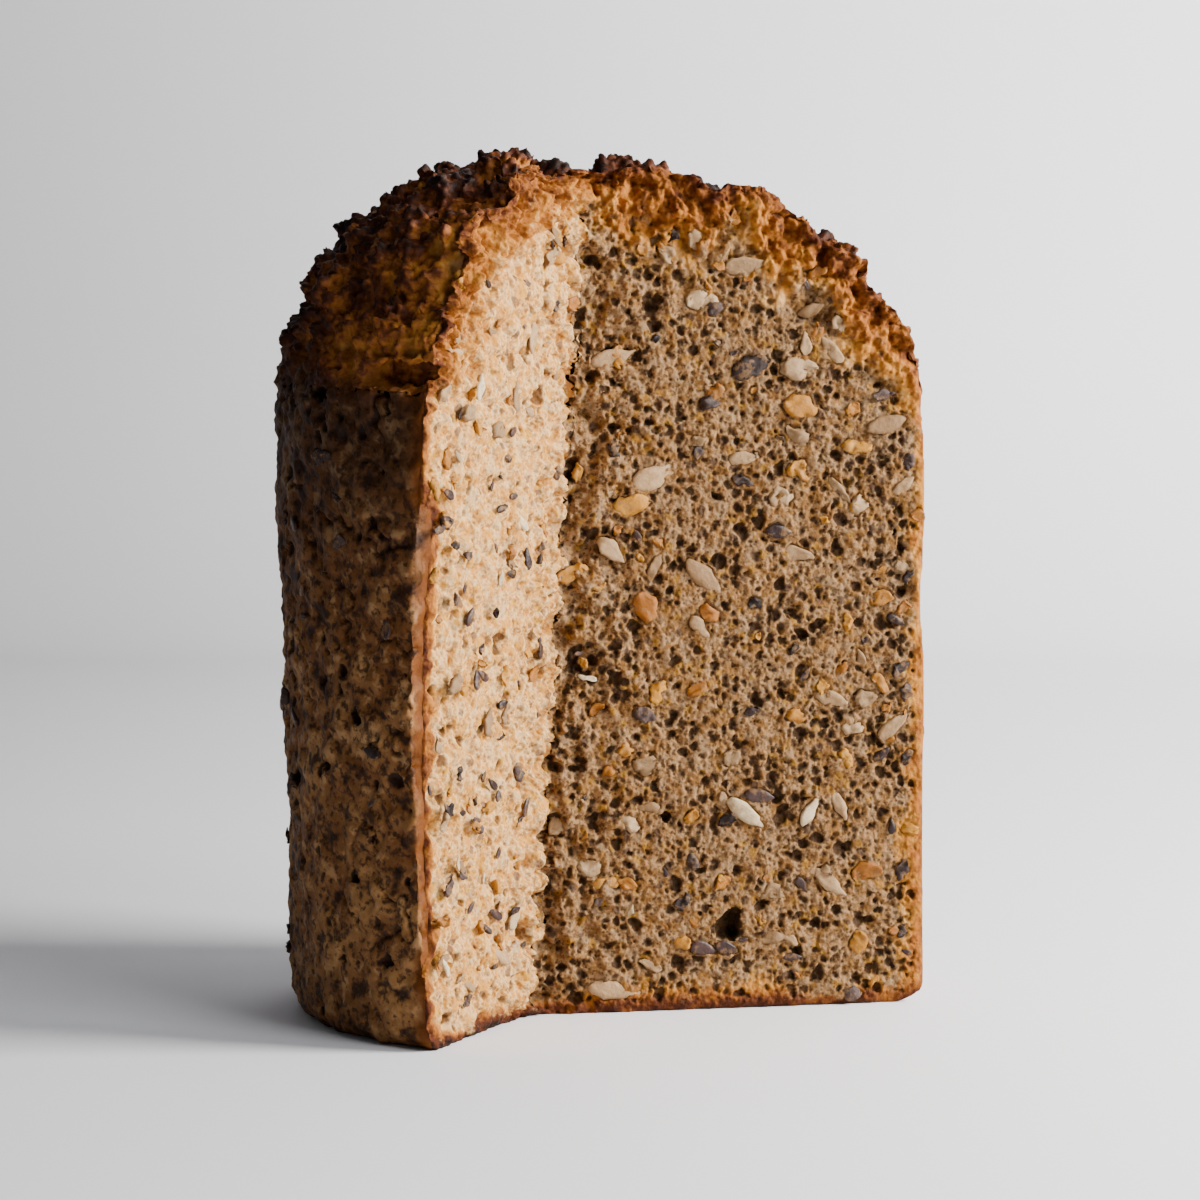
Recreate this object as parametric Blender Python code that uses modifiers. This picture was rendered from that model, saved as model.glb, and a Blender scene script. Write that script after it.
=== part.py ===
"""A round protein bread loaf baked in a tall tin, with a wide wedge cut out of its front right.

The loaf stands on its flat base, +Z up, with the origin under the middle of the base. It is one
solid: a turned tin shape with a craggy crown, a wedge taken out by two knife cuts that meet at a
leaning line, and the larger seeds and cavities that show in the two cut faces.
"""

import math
import random

import bmesh
import bpy
from mathutils import Euler, Matrix, Vector, noise

# The tin shape, in metres
LOAF_RADIUS = 0.0575
BASE_RADIUS = 0.0570
BASE_ROUND = 0.0035
SHOULDER_HEIGHT = 0.108
CROWN_HEIGHT = 0.1500
LOAF_LEAN = -0.0020
CROWN_STEPS = 24
FOOT_STEPS = 6
TURN_STEPS = 96
FACET = 0.0027
FACETS_KEPT = 0.36
FLAT_BELOW = 0.0012

# Relief of the crust
CRAG_START = 0.112
CRAG_FULL = 0.136
LUMP_SIZE = 0.0115
LUMP_RELIEF = 0.0042
CLOD_SIZE = 0.0056
CLOD_RELIEF = 0.0022
WALL_WAVE_SIZE = 0.021
WALL_WAVE_RELIEF = 0.0009
WALL_WAVE_START = 0.001
WALL_WAVE_FULL = 0.012
CAP_RELIEF = 0.0040
CAP_EDGE = 0.060
CAP_FULL = 0.047
CAP_RIGHT = -0.003
CAP_LEFT = -0.016
VALLEY_ACROSS = -0.0055
VALLEY_WIDTH = 0.0040
VALLEY_DEPTH = 0.0022

# The cuts: the line where they meet, halfway up, and where each reaches the wall
APEX_MID = Vector((-0.0088, -0.0095))
APEX_LEAN = Vector((0.0105, 0.0055))
MID_HEIGHT = 0.075
LEAN_SPAN = 0.150
REAR_CUT_ANGLE = math.radians(2.0)
NEAR_CUT_ANGLE = math.radians(-121.5)
NEAR_EDGE_BOW = math.radians(3.4)
CUT_REACH = 0.030
CUT_FAR = 0.180
CUT_STEP = 0.0058
CUT_TOP = 0.175
CUT_BOTTOM = -0.012

# The torn crumb where the cuts meet
TEAR_REACH = 0.020
TEAR_SIZE = 0.0075
TEAR_RELIEF = 0.0016

# The open seam under the crown's rim, beside the near cut
SEAM_ANGLE = math.radians(-127.0)
SEAM_HEIGHT = 0.1145
SEAM_SIZE = Vector((0.0150, 0.0052, 0.0016))
SEAM_TILT = math.radians(4.0)

# What shows in the crumb
SEED_PROUD = 0.0004
SEED_MARGIN = 0.0045
REAR_RANDOM_SEEDS = 26
NEAR_RANDOM_SEEDS = 16
REAR_CAVITIES = 20
NEAR_CAVITIES = 8
SEED_GAP = 0.0085
CAVITY_GAP = 0.0068
CAVITY_WIDTHS = (0.0024, 0.0044)
CAVITY_SHAPES = (0.5, 0.9)
CAVITY_DEPTH = 0.0036
RANDOM_SEED = 11

# Seeds as (length, width, thickness)
SEED_SIZES = {
    "kernel": Vector((0.0096, 0.0046, 0.0022)),
    "round": Vector((0.0050, 0.0046, 0.0022)),
    "linseed": Vector((0.0048, 0.0025, 0.0014)),
    "grit": Vector((0.0044, 0.0032, 0.0020)),
}

# The seeds that show best in the rear cut: kind, distance to the right of the middle, height, turn
# in degrees
SHOWN_SEEDS = [
    ("kernel", 0.0092, 0.0965, 26),
    ("kernel", -0.0024, 0.0915, 22),
    ("kernel", 0.0020, 0.0835, -35),
    ("kernel", 0.0180, 0.0790, -36),
    ("kernel", 0.0252, 0.0362, -38),
    ("kernel", 0.0515, 0.0525, 40),
    ("kernel", 0.0240, 0.1315, 8),
    ("round", 0.0315, 0.0920, 0),
    ("round", 0.0170, 0.1275, 0),
    ("round", 0.0025, 0.1165, 30),
    ("round", 0.0363, 0.0372, 55),
    ("linseed", 0.0312, 0.0862, -6),
    ("linseed", 0.0165, 0.0132, 10),
    ("linseed", 0.0285, 0.0398, 0),
    ("grit", 0.0340, 0.1075, -8),
    ("grit", 0.0065, 0.0912, 20),
    ("grit", 0.0005, 0.0235, 5),
]

CRUST_COLOUR = (0.36, 0.205, 0.105, 1.0)
CRUST_ROUGHNESS = 0.82


def clear_scene():
    """Removes whatever the start-up file holds."""
    for found in list(bpy.data.objects):
        bpy.data.objects.remove(found, do_unlink=True)


def new_collection(name):
    """A collection linked to the scene."""
    made = bpy.data.collections.new(name)
    bpy.context.scene.collection.children.link(made)
    return made


def add_object(name, mesh, collection):
    """An object for a mesh, in a collection."""
    made = bpy.data.objects.new(name, mesh)
    collection.objects.link(made)
    return made


def ramp(low, high, value):
    """0 at low, 1 at high, with a smooth run between them."""
    share = min(1.0, max(0.0, (value - low) / (high - low)))
    return share * share * (3.0 - 2.0 * share)


def profile_points():
    """Half the loaf's outline as (radius, height), from the top of the crown down to the base."""
    crown_rise = CROWN_HEIGHT - SHOULDER_HEIGHT
    crown = [
        (LOAF_RADIUS * math.sin(turn), SHOULDER_HEIGHT + crown_rise * math.cos(turn))
        for turn in (0.5 * math.pi * i / CROWN_STEPS for i in range(CROWN_STEPS + 1))
    ]
    foot = [
        (
            BASE_RADIUS - BASE_ROUND + BASE_ROUND * math.cos(turn),
            BASE_ROUND - BASE_ROUND * math.sin(turn),
        )
        for turn in (0.5 * math.pi * i / FOOT_STEPS for i in range(FOOT_STEPS + 1))
    ]
    return crown + foot + [(0.0, 0.0)]


def turned_mesh():
    """The plain tin shape, turned from its profile and divided into even facets."""
    mesh = bpy.data.meshes.new("turned")
    points = [(radius, 0.0, height) for radius, height in profile_points()]
    mesh.from_pydata(points, [(i, i + 1) for i in range(len(points) - 1)], [])
    turned = add_object("turned", mesh, bpy.context.scene.collection)
    screw = turned.modifiers.new("turn", "SCREW")
    screw.steps = screw.render_steps = TURN_STEPS
    screw.use_merge_vertices = True
    screw.merge_threshold = 0.00005
    facets = turned.modifiers.new("facets", "REMESH")
    facets.mode = "VOXEL"
    facets.voxel_size = FACET
    graph = bpy.context.evaluated_depsgraph_get()
    made = bpy.data.meshes.new_from_object(turned.evaluated_get(graph))
    bpy.data.objects.remove(turned)
    return made


def cauliflower(point, size):
    """Rounded lumps with creases between them: 1 on a lump, 0 in a crease."""
    near = noise.voronoi(point / size)[0]
    return 1.0 - min(1.0, 1.35 * near[0]) ** 2


def crown_relief(point):
    """How far the crust stands out from the turned shape at a point of the crown."""
    share = ramp(CRAG_START, CRAG_FULL, point.z)
    if share == 0.0:
        return 0.0
    lumps = LUMP_RELIEF * (cauliflower(point, LUMP_SIZE) - 0.55)
    clods = CLOD_RELIEF * (cauliflower(point, CLOD_SIZE) - 0.5)
    return share * (lumps + clods)


def crown_lift(point):
    """How far the crown is raised: a thick cap left of the middle and a valley beside it."""
    share = ramp(CRAG_START, CRAG_FULL, point.z)
    reach = math.hypot(point.x, point.y)
    left = ramp(CAP_RIGHT, CAP_LEFT, point.x)
    cap = CAP_RELIEF * left * ramp(CAP_EDGE, CAP_FULL, reach)
    across = (point.x - VALLEY_ACROSS) / VALLEY_WIDTH
    valley = VALLEY_DEPTH * math.exp(-across * across)
    return share * (cap - valley)


def wall_relief(point):
    """The slow unevenness of the wall, which dies out at the base."""
    share = ramp(WALL_WAVE_START, WALL_WAVE_FULL, point.z)
    return share * WALL_WAVE_RELIEF * noise.noise(point / WALL_WAVE_SIZE)


def apply_modifiers(target):
    """Keeps what an object's modifiers make as its mesh."""
    graph = bpy.context.evaluated_depsgraph_get()
    made = bpy.data.meshes.new_from_object(target.evaluated_get(graph))
    target.modifiers.clear()
    target.data = made


def baked_loaf(collection):
    """The whole loaf before it is cut, with its crags."""
    mesh = turned_mesh()
    loaf = add_object("bread_loaf", mesh, collection)
    normals = [normal.vector.copy() for normal in mesh.vertex_normals]
    for vertex, normal in zip(mesh.vertices, normals):
        spot = vertex.co.copy()
        vertex.co += normal * (crown_relief(spot) + wall_relief(spot))
        vertex.co.z += crown_lift(spot)
        vertex.co.x += LOAF_LEAN * spot.z / CROWN_HEIGHT
        if spot.z < FLAT_BELOW:
            vertex.co.z = 0.0
    fewer = loaf.modifiers.new("fewer_facets", "DECIMATE")
    fewer.ratio = FACETS_KEPT
    apply_modifiers(loaf)
    return loaf


def on_wall(angle):
    """The point where a cut reaches the wall, seen from above."""
    return Vector((math.cos(angle), math.sin(angle))) * LOAF_RADIUS


def lean(point):
    """Where a point of the upright wedge lies once the knife has leant and bowed."""
    reach = math.hypot(point.x, point.y) / LOAF_RADIUS
    share = max(0.0, 1.0 - reach * reach) * (point.z - MID_HEIGHT) / LEAN_SPAN
    moved = Vector((point.x + APEX_LEAN.x * share, point.y + APEX_LEAN.y * share, point.z))
    turn = math.atan2(point.y, point.x) - NEAR_CUT_ANGLE
    beside = ramp(1.0, 0.3, abs(turn)) * min(1.0, reach * reach)
    height = point.z / SHOULDER_HEIGHT
    bow = -math.sin(math.pi * min(1.2, max(0.0, height))) * NEAR_EDGE_BOW * beside
    return Matrix.Rotation(bow, 3, "Z") @ moved


def cut_direction(angle):
    """The way a cut runs from the line where the cuts meet to the wall, and how long it is."""
    along = on_wall(angle) - APEX_MID
    return along.normalized(), along.length


def cut_point(angle, along, height):
    """The point of a cut face at a distance from the meeting line and a height."""
    direction, _ = cut_direction(angle)
    spot = APEX_MID + direction * along
    return lean(Vector((spot.x, spot.y, height)))


def cut_outward(angle):
    """The way a cut face looks, into the wedge that is gone."""
    direction, _ = cut_direction(angle)
    middle = 0.5 * (REAR_CUT_ANGLE + NEAR_CUT_ANGLE)
    side = Vector((-direction.y, direction.x, 0.0))
    if side.x * math.cos(middle) + side.y * math.sin(middle) < 0.0:
        side.negate()
    return side


def wedge_cutter(collection):
    """The wedge that is gone: an upright prism in short steps, leant as the knife went."""
    middle = 0.5 * (REAR_CUT_ANGLE + NEAR_CUT_ANGLE)
    far = Vector((math.cos(middle), math.sin(middle))) * CUT_FAR
    corners = [APEX_MID.copy()]
    for angle, outwards in ((REAR_CUT_ANGLE, True), (NEAR_CUT_ANGLE, False)):
        direction, length = cut_direction(angle)
        steps = round((length + CUT_REACH) / CUT_STEP)
        run = [
            APEX_MID + direction * (length + CUT_REACH) * (i / steps)
            for i in range(1, steps + 1)
        ]
        corners += [*run, far] if outwards else run[::-1]
    mesh = bpy.data.meshes.new("wedge")
    shape = bmesh.new()
    outline = shape.faces.new([shape.verts.new((p.x, p.y, CUT_BOTTOM)) for p in corners])
    risen = bmesh.ops.extrude_face_region(shape, geom=[outline])["geom"]
    top = [item for item in risen if isinstance(item, bmesh.types.BMVert)]
    bmesh.ops.translate(shape, verts=top, vec=(0.0, 0.0, CUT_TOP - CUT_BOTTOM))
    for level in range(1, round((CUT_TOP - CUT_BOTTOM) / CUT_STEP)):
        bmesh.ops.bisect_plane(
            shape,
            geom=shape.verts[:] + shape.edges[:] + shape.faces[:],
            plane_co=(0.0, 0.0, CUT_BOTTOM + level * CUT_STEP),
            plane_no=(0.0, 0.0, 1.0),
        )
    for vertex in shape.verts:
        from_apex = (vertex.co.xy - APEX_MID).length
        share = ramp(TEAR_REACH, 0.0, from_apex)
        torn = noise.noise_vector(vertex.co / TEAR_SIZE) * TEAR_RELIEF * share
        vertex.co = lean(vertex.co) + torn
    bmesh.ops.recalc_face_normals(shape, faces=shape.faces[:])
    shape.to_mesh(mesh)
    shape.free()
    return add_object("wedge_cutter", mesh, collection)


def seam_cutter(collection):
    """The flat lens that opens a seam under the crown's rim."""
    mesh = bpy.data.meshes.new("seam")
    shape = bmesh.new()
    bmesh.ops.create_uvsphere(shape, u_segments=16, v_segments=8, radius=1.0)
    bmesh.ops.scale(shape, vec=SEAM_SIZE, verts=shape.verts[:])
    shape.to_mesh(mesh)
    shape.free()
    seam = add_object("seam_cutter", mesh, collection)
    spot = on_wall(SEAM_ANGLE)
    seam.location = (spot.x, spot.y, SEAM_HEIGHT)
    seam.rotation_euler = Euler((SEAM_TILT, 0.0, SEAM_ANGLE + 0.5 * math.pi))
    return seam


def face_frame(angle, along, height, turn):
    """The place of something that lies in a cut face: its X and Y in the face, Z out of it."""
    outward = cut_outward(angle)
    upright = Vector((0.0, 0.0, 1.0))
    across = upright.cross(outward)
    turned = Matrix((across, upright, outward)).transposed().to_4x4()
    spot = cut_point(angle, along, height)
    return Matrix.Translation(spot) @ turned @ Matrix.Rotation(turn, 4, "Z")


def crumb_top(angle, along):
    """The height up to which the crumb is plain at a distance along a cut."""
    direction, _ = cut_direction(angle)
    spot = APEX_MID + direction * along
    reach = min(1.0, spot.length / LOAF_RADIUS)
    rise = CROWN_HEIGHT - SHOULDER_HEIGHT
    return SHOULDER_HEIGHT + rise * math.sqrt(1.0 - reach * reach) - 2.5 * SEED_MARGIN


def scattered(angle, count, gap, taken, draw):
    """Random places in a cut face, no two nearer than a gap, as (along, height)."""
    _, length = cut_direction(angle)
    found = []
    tries = 0
    while len(found) < count and tries < 4000:
        tries += 1
        along = draw.uniform(SEED_MARGIN, length - SEED_MARGIN)
        height = draw.uniform(SEED_MARGIN, crumb_top(angle, along))
        clear = all(math.hypot(along - a, height - h) > gap for a, h in taken + found)
        if clear:
            found.append((along, height))
    return found


def add_pebble(name, size, place, collection, segments=8, rings=4):
    """A small rounded seed or cavity of a size, at a place."""
    mesh = bpy.data.meshes.new(name)
    shape = bmesh.new()
    bmesh.ops.create_uvsphere(shape, u_segments=segments, v_segments=rings, radius=0.5)
    bmesh.ops.scale(shape, vec=size, verts=shape.verts[:])
    shape.to_mesh(mesh)
    shape.free()
    made = add_object(name, mesh, collection)
    made.matrix_world = place
    return made


def place_seeds(collection, draw):
    """The seeds of both cut faces, each standing a little out of its face. Returns their places."""
    rear_direction, _ = cut_direction(REAR_CUT_ANGLE)
    rear = []
    for kind, across, height, turn in SHOWN_SEEDS:
        leant = APEX_LEAN.x * (height - MID_HEIGHT) / LEAN_SPAN
        share = 1.0 - (across / LOAF_RADIUS) ** 2
        along = (across - leant * share - APEX_MID.x) / rear_direction.x
        rear.append((kind, REAR_CUT_ANGLE, along, height, math.radians(turn)))
    kinds = ("linseed", "grit", "round", "linseed", "grit", "kernel")
    taken = {REAR_CUT_ANGLE: [(s[2], s[3]) for s in rear], NEAR_CUT_ANGLE: []}
    drawn = []
    for angle, count in (
        (REAR_CUT_ANGLE, REAR_RANDOM_SEEDS),
        (NEAR_CUT_ANGLE, NEAR_RANDOM_SEEDS),
    ):
        places = scattered(angle, count, SEED_GAP, taken[angle], draw)
        for i, (along, height) in enumerate(places):
            turn = draw.uniform(0.0, math.pi)
            drawn.append((kinds[i % len(kinds)], angle, along, height, turn))
            taken[angle].append((along, height))
    for i, (kind, angle, along, height, turn) in enumerate(rear + drawn):
        size = SEED_SIZES[kind]
        place = face_frame(angle, along, height, turn)
        sunk = Matrix.Translation((0.0, 0.0, SEED_PROUD - 0.5 * size.z))
        add_pebble(f"seed_{i:02d}", size, place @ sunk, collection)
    return taken


def place_cavities(collection, taken, draw):
    """The larger holes of both cut faces, clear of the seeds."""
    index = 0
    for angle, count in ((REAR_CUT_ANGLE, REAR_CAVITIES), (NEAR_CUT_ANGLE, NEAR_CAVITIES)):
        for along, height in scattered(angle, count, CAVITY_GAP, taken[angle], draw):
            wide = draw.uniform(*CAVITY_WIDTHS)
            size = Vector((wide, wide * draw.uniform(*CAVITY_SHAPES), CAVITY_DEPTH))
            place = face_frame(angle, along, height, draw.uniform(0.0, math.pi))
            add_pebble(f"cavity_{index:02d}", size, place, collection, 7, 5)
            index += 1


def apply_boolean(target, operation, cutter=None, collection=None, solver="EXACT"):
    """Runs one Boolean on an object and keeps its result as the object's mesh."""
    step = target.modifiers.new(operation.lower(), "BOOLEAN")
    step.operation = operation
    step.solver = solver
    if cutter is None:
        step.operand_type = "COLLECTION"
        step.collection = collection
    else:
        step.object = cutter
    apply_modifiers(target)


def remove_all(collection):
    """Removes a collection with its objects."""
    for found in list(collection.objects):
        bpy.data.objects.remove(found, do_unlink=True)
    bpy.data.collections.remove(collection)


def crust_material():
    """The baked crust's plain finish."""
    made = bpy.data.materials.new("crust")
    made.use_nodes = True
    shader = made.node_tree.nodes["Principled BSDF"]
    shader.inputs["Base Color"].default_value = CRUST_COLOUR
    shader.inputs["Roughness"].default_value = CRUST_ROUGHNESS
    shader.inputs["Metallic"].default_value = 0.0
    return made


def main():
    """Bakes the loaf, cuts the wedge out, and sets the seeds and cavities in the cut faces."""
    clear_scene()
    draw = random.Random(RANDOM_SEED)
    bread = new_collection("protein_bread_loaf")
    cutters = new_collection("cutters")
    seeds = new_collection("seeds")
    cavities = new_collection("cavities")

    loaf = baked_loaf(bread)
    wedge_cutter(cutters)
    seam_cutter(cutters)
    taken = place_seeds(seeds, draw)
    place_cavities(cavities, taken, draw)

    apply_boolean(loaf, "DIFFERENCE", collection=cutters)
    apply_boolean(loaf, "DIFFERENCE", collection=cavities, solver="MANIFOLD")
    apply_boolean(loaf, "UNION", collection=seeds, solver="MANIFOLD")
    for used in (cutters, cavities, seeds):
        remove_all(used)

    loaf.data.materials.clear()
    loaf.data.materials.append(crust_material())
    loaf.data.shade_smooth()
    loaf.data.set_sharp_from_angle(angle=math.radians(35.0))


main()
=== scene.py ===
"""The protein bread loaf dressed for the eye: crumb with pores, browned crust, seeds and grits.

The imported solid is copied, refined and given the fine relief of bread. It is then parted into its
crust and its two cut faces, and the seeds are laid where the knife has bared them.
"""

import logging
import math
import random
from dataclasses import dataclass, field
from enum import Enum
from functools import cache

import bpy
import numpy as np
from mathutils import Matrix, Vector
from mathutils.bvhtree import BVHTree


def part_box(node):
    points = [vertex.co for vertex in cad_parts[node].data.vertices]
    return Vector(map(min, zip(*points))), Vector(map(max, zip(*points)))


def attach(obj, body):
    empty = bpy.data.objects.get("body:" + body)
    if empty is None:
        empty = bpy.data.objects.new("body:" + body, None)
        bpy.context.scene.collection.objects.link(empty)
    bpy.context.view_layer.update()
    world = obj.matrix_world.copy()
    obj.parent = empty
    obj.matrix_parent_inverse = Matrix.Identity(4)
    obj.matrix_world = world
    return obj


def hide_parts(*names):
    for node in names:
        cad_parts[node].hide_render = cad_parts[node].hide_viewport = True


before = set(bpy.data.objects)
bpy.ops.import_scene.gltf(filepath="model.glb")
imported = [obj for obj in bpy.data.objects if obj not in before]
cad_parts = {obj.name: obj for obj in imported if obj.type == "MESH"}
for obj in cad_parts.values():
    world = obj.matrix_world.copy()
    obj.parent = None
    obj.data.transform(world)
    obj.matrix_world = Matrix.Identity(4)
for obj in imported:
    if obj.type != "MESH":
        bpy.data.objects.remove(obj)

LOG = logging.getLogger("bread")
NODE = "bread_loaf"
MM = 0.001
Colour = tuple[float, float, float]
Socket = bpy.types.NodeSocket
Value = float | tuple[float, ...] | Socket

# How bread browns: each step's place and its colour
BROWNING = (
    (0.10, (0.49, 0.265, 0.090)),
    (0.32, (0.38, 0.155, 0.022)),
    (0.52, (0.255, 0.082, 0.011)),
    (0.74, (0.076, 0.018, 0.0040)),
    (1.00, (0.012, 0.0035, 0.0015)),
)


class Region(Enum):
    """The parts of the loaf's surface, numbered as their faces are marked."""

    REAR_CRUMB = 0
    NEAR_CRUMB = 1
    CROWN = 2
    WALL = 3
    BASE = 4


# The most triangles that a piece keeps
LIMITS = {
    Region.NEAR_CRUMB: 185000,
    Region.CROWN: 150000,
    Region.WALL: 120000,
    Region.BASE: 12000,
}


class SeedKind(Enum):
    """What the dough is full of."""

    KERNEL = "sunflower_kernels"
    WHITE = "white_kernels"
    DISC = "kernel_slices"
    GRIT = "golden_grits"
    LINSEED = "linseeds"
    HUSK = "dark_husks"


# The seeds that show best: how far along the cut, how high, how turned in degrees and how long,
# in millimetres
SHOWN = {
    (Region.REAR_CRUMB, SeedKind.KERNEL): (
        (16, 95, 20, 9.5), (5, 91, 20, 8.5), (9, 82, -40, 7), (26, 77, -40, 8.5),
        (6, 109, -45, 4.5), (50, 92, -50, 6), (62, 93, 35, 5), (32, 98, 0, 5.5),
        (26, 68, -50, 6), (61, 50, 40, 7), (50, 55, -15, 6), (52, 36, -60, 6),
        (51, 22, -40, 7), (15, 4, -10, 8.5), (43, 81, -10, 6), (7, 116, 15, 8),
        (30, 132, 10, 8), (43, 124, 20, 5.5), (59, 104, 15, 8),
    ),
    (Region.REAR_CRUMB, SeedKind.WHITE): ((36, 35, -40, 8.5), (47, 35, 55, 6)),
    (Region.REAR_CRUMB, SeedKind.DISC): (
        (39, 91, 0, 5), (54, 90, 0, 3.5), (23, 101, 0, 3.5), (54, 50, 0, 4), (56, 55, 0, 4.5),
        (18, 44, 0, 5), (33, 45, 0, 4), (9, 26, 0, 4.5), (22, 126, 0, 5.5), (41, 114, 0, 6),
    ),
    (Region.REAR_CRUMB, SeedKind.GRIT): (
        (42, 107, -10, 7), (53, 100, 0, 4.5), (12, 90, 10, 6.5), (2, 78, 30, 4.5), (16, 72, -65, 6),
        (19, 57, 70, 4.5), (12, 23, 15, 5), (16, 23, -10, 4.5), (57, 24, 10, 5.5), (56, 11, 70, 5),
        (58, 73, 0, 4), (44, 52, -20, 4), (14, 47, 0, 4),
    ),
    (Region.REAR_CRUMB, SeedKind.HUSK): (
        (25, 108, 0, 4), (32, 94, -15, 3.5), (58, 109, 0, 3.5), (17, 53, -20, 4.5), (33, 34, 10, 4),
        (55, 2, 0, 3.5), (32, 114, 20, 6), (63, 97, 80, 3.5), (63, 77, 60, 3), (63, 56, 90, 4),
        (63, 44, 70, 3), (63, 24, 80, 3.5), (63, 13, 90, 2.5),
    ),
    (Region.REAR_CRUMB, SeedKind.LINSEED): (
        (39, 85, -5, 5), (38, 38, -5, 5.5), (59, 45, 35, 4), (30, 11, -15, 5.5), (34, 11, -20, 5),
        (46, 22, -55, 3.5), (45, 9, 0, 3.5), (61, 69, -30, 3.5), (61, 32, 85, 3.5),
    ),
    (Region.NEAR_CRUMB, SeedKind.KERNEL): (
        (14, 120, 85, 6.5), (17, 55, 80, 3.5), (15, 22, 60, 3), (8, 137, -50, 4.5),
    ),
    (Region.NEAR_CRUMB, SeedKind.WHITE): ((21, 79, 80, 3), (30, 112, 70, 5)),
    (Region.NEAR_CRUMB, SeedKind.GRIT): ((36, 130, -60, 3.5), (10, 120, 80, 3.5), (18, 62, 80, 3)),
    (Region.NEAR_CRUMB, SeedKind.HUSK): ((7, 125, 0, 2.5), (7, 81, 60, 2), (25, 36, -20, 2)),
    (Region.NEAR_CRUMB, SeedKind.LINSEED): (
        (31, 73, 65, 3.5), (28, 62, 80, 3.5), (24, 45, 50, 2.5), (18, 41, 80, 2.5), (45, 45, 80, 2),
        (17, 31, 75, 2.5), (25, 95, 80, 2), (33, 78, 80, 2),
    ),
}


@dataclass(frozen=True)
class Bubbles:
    """Bubbles of one kind: how far apart they are, and their least and greatest radius, in metres.

    Where the least radius is below nothing, some of the bubbles are left out.
    """

    apart: float
    least: float
    most: float


# The caves and the pores that the knife has bared, and the pits that the tin has left
CAVES = {
    Region.REAR_CRUMB: Bubbles(0.0105, -0.0012, 0.0026),
    Region.NEAR_CRUMB: Bubbles(0.0120, -0.0016, 0.0016),
}
PORES = {
    Region.REAR_CRUMB: (
        Bubbles(0.0037, -0.0006, 0.00145),
        Bubbles(0.0020, 0.0002, 0.00096),
        Bubbles(0.00115, 0.0001, 0.00054),
    ),
    Region.NEAR_CRUMB: (
        Bubbles(0.0029, -0.0009, 0.00105),
        Bubbles(0.0014, -0.0003, 0.00048),
    ),
}
WALL_PITS = (Bubbles(0.0060, -0.0010, 0.0021), Bubbles(0.0030, -0.0005, 0.0011))


@dataclass(frozen=True)
class Layer:
    """A layer of relief: how wide its lumps are, how high, and how much of that height is sunk.

    Both sizes are in metres, and the sunk part is a share of the height.
    """

    size: float
    rise: float
    sunk: float = 0.0


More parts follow.
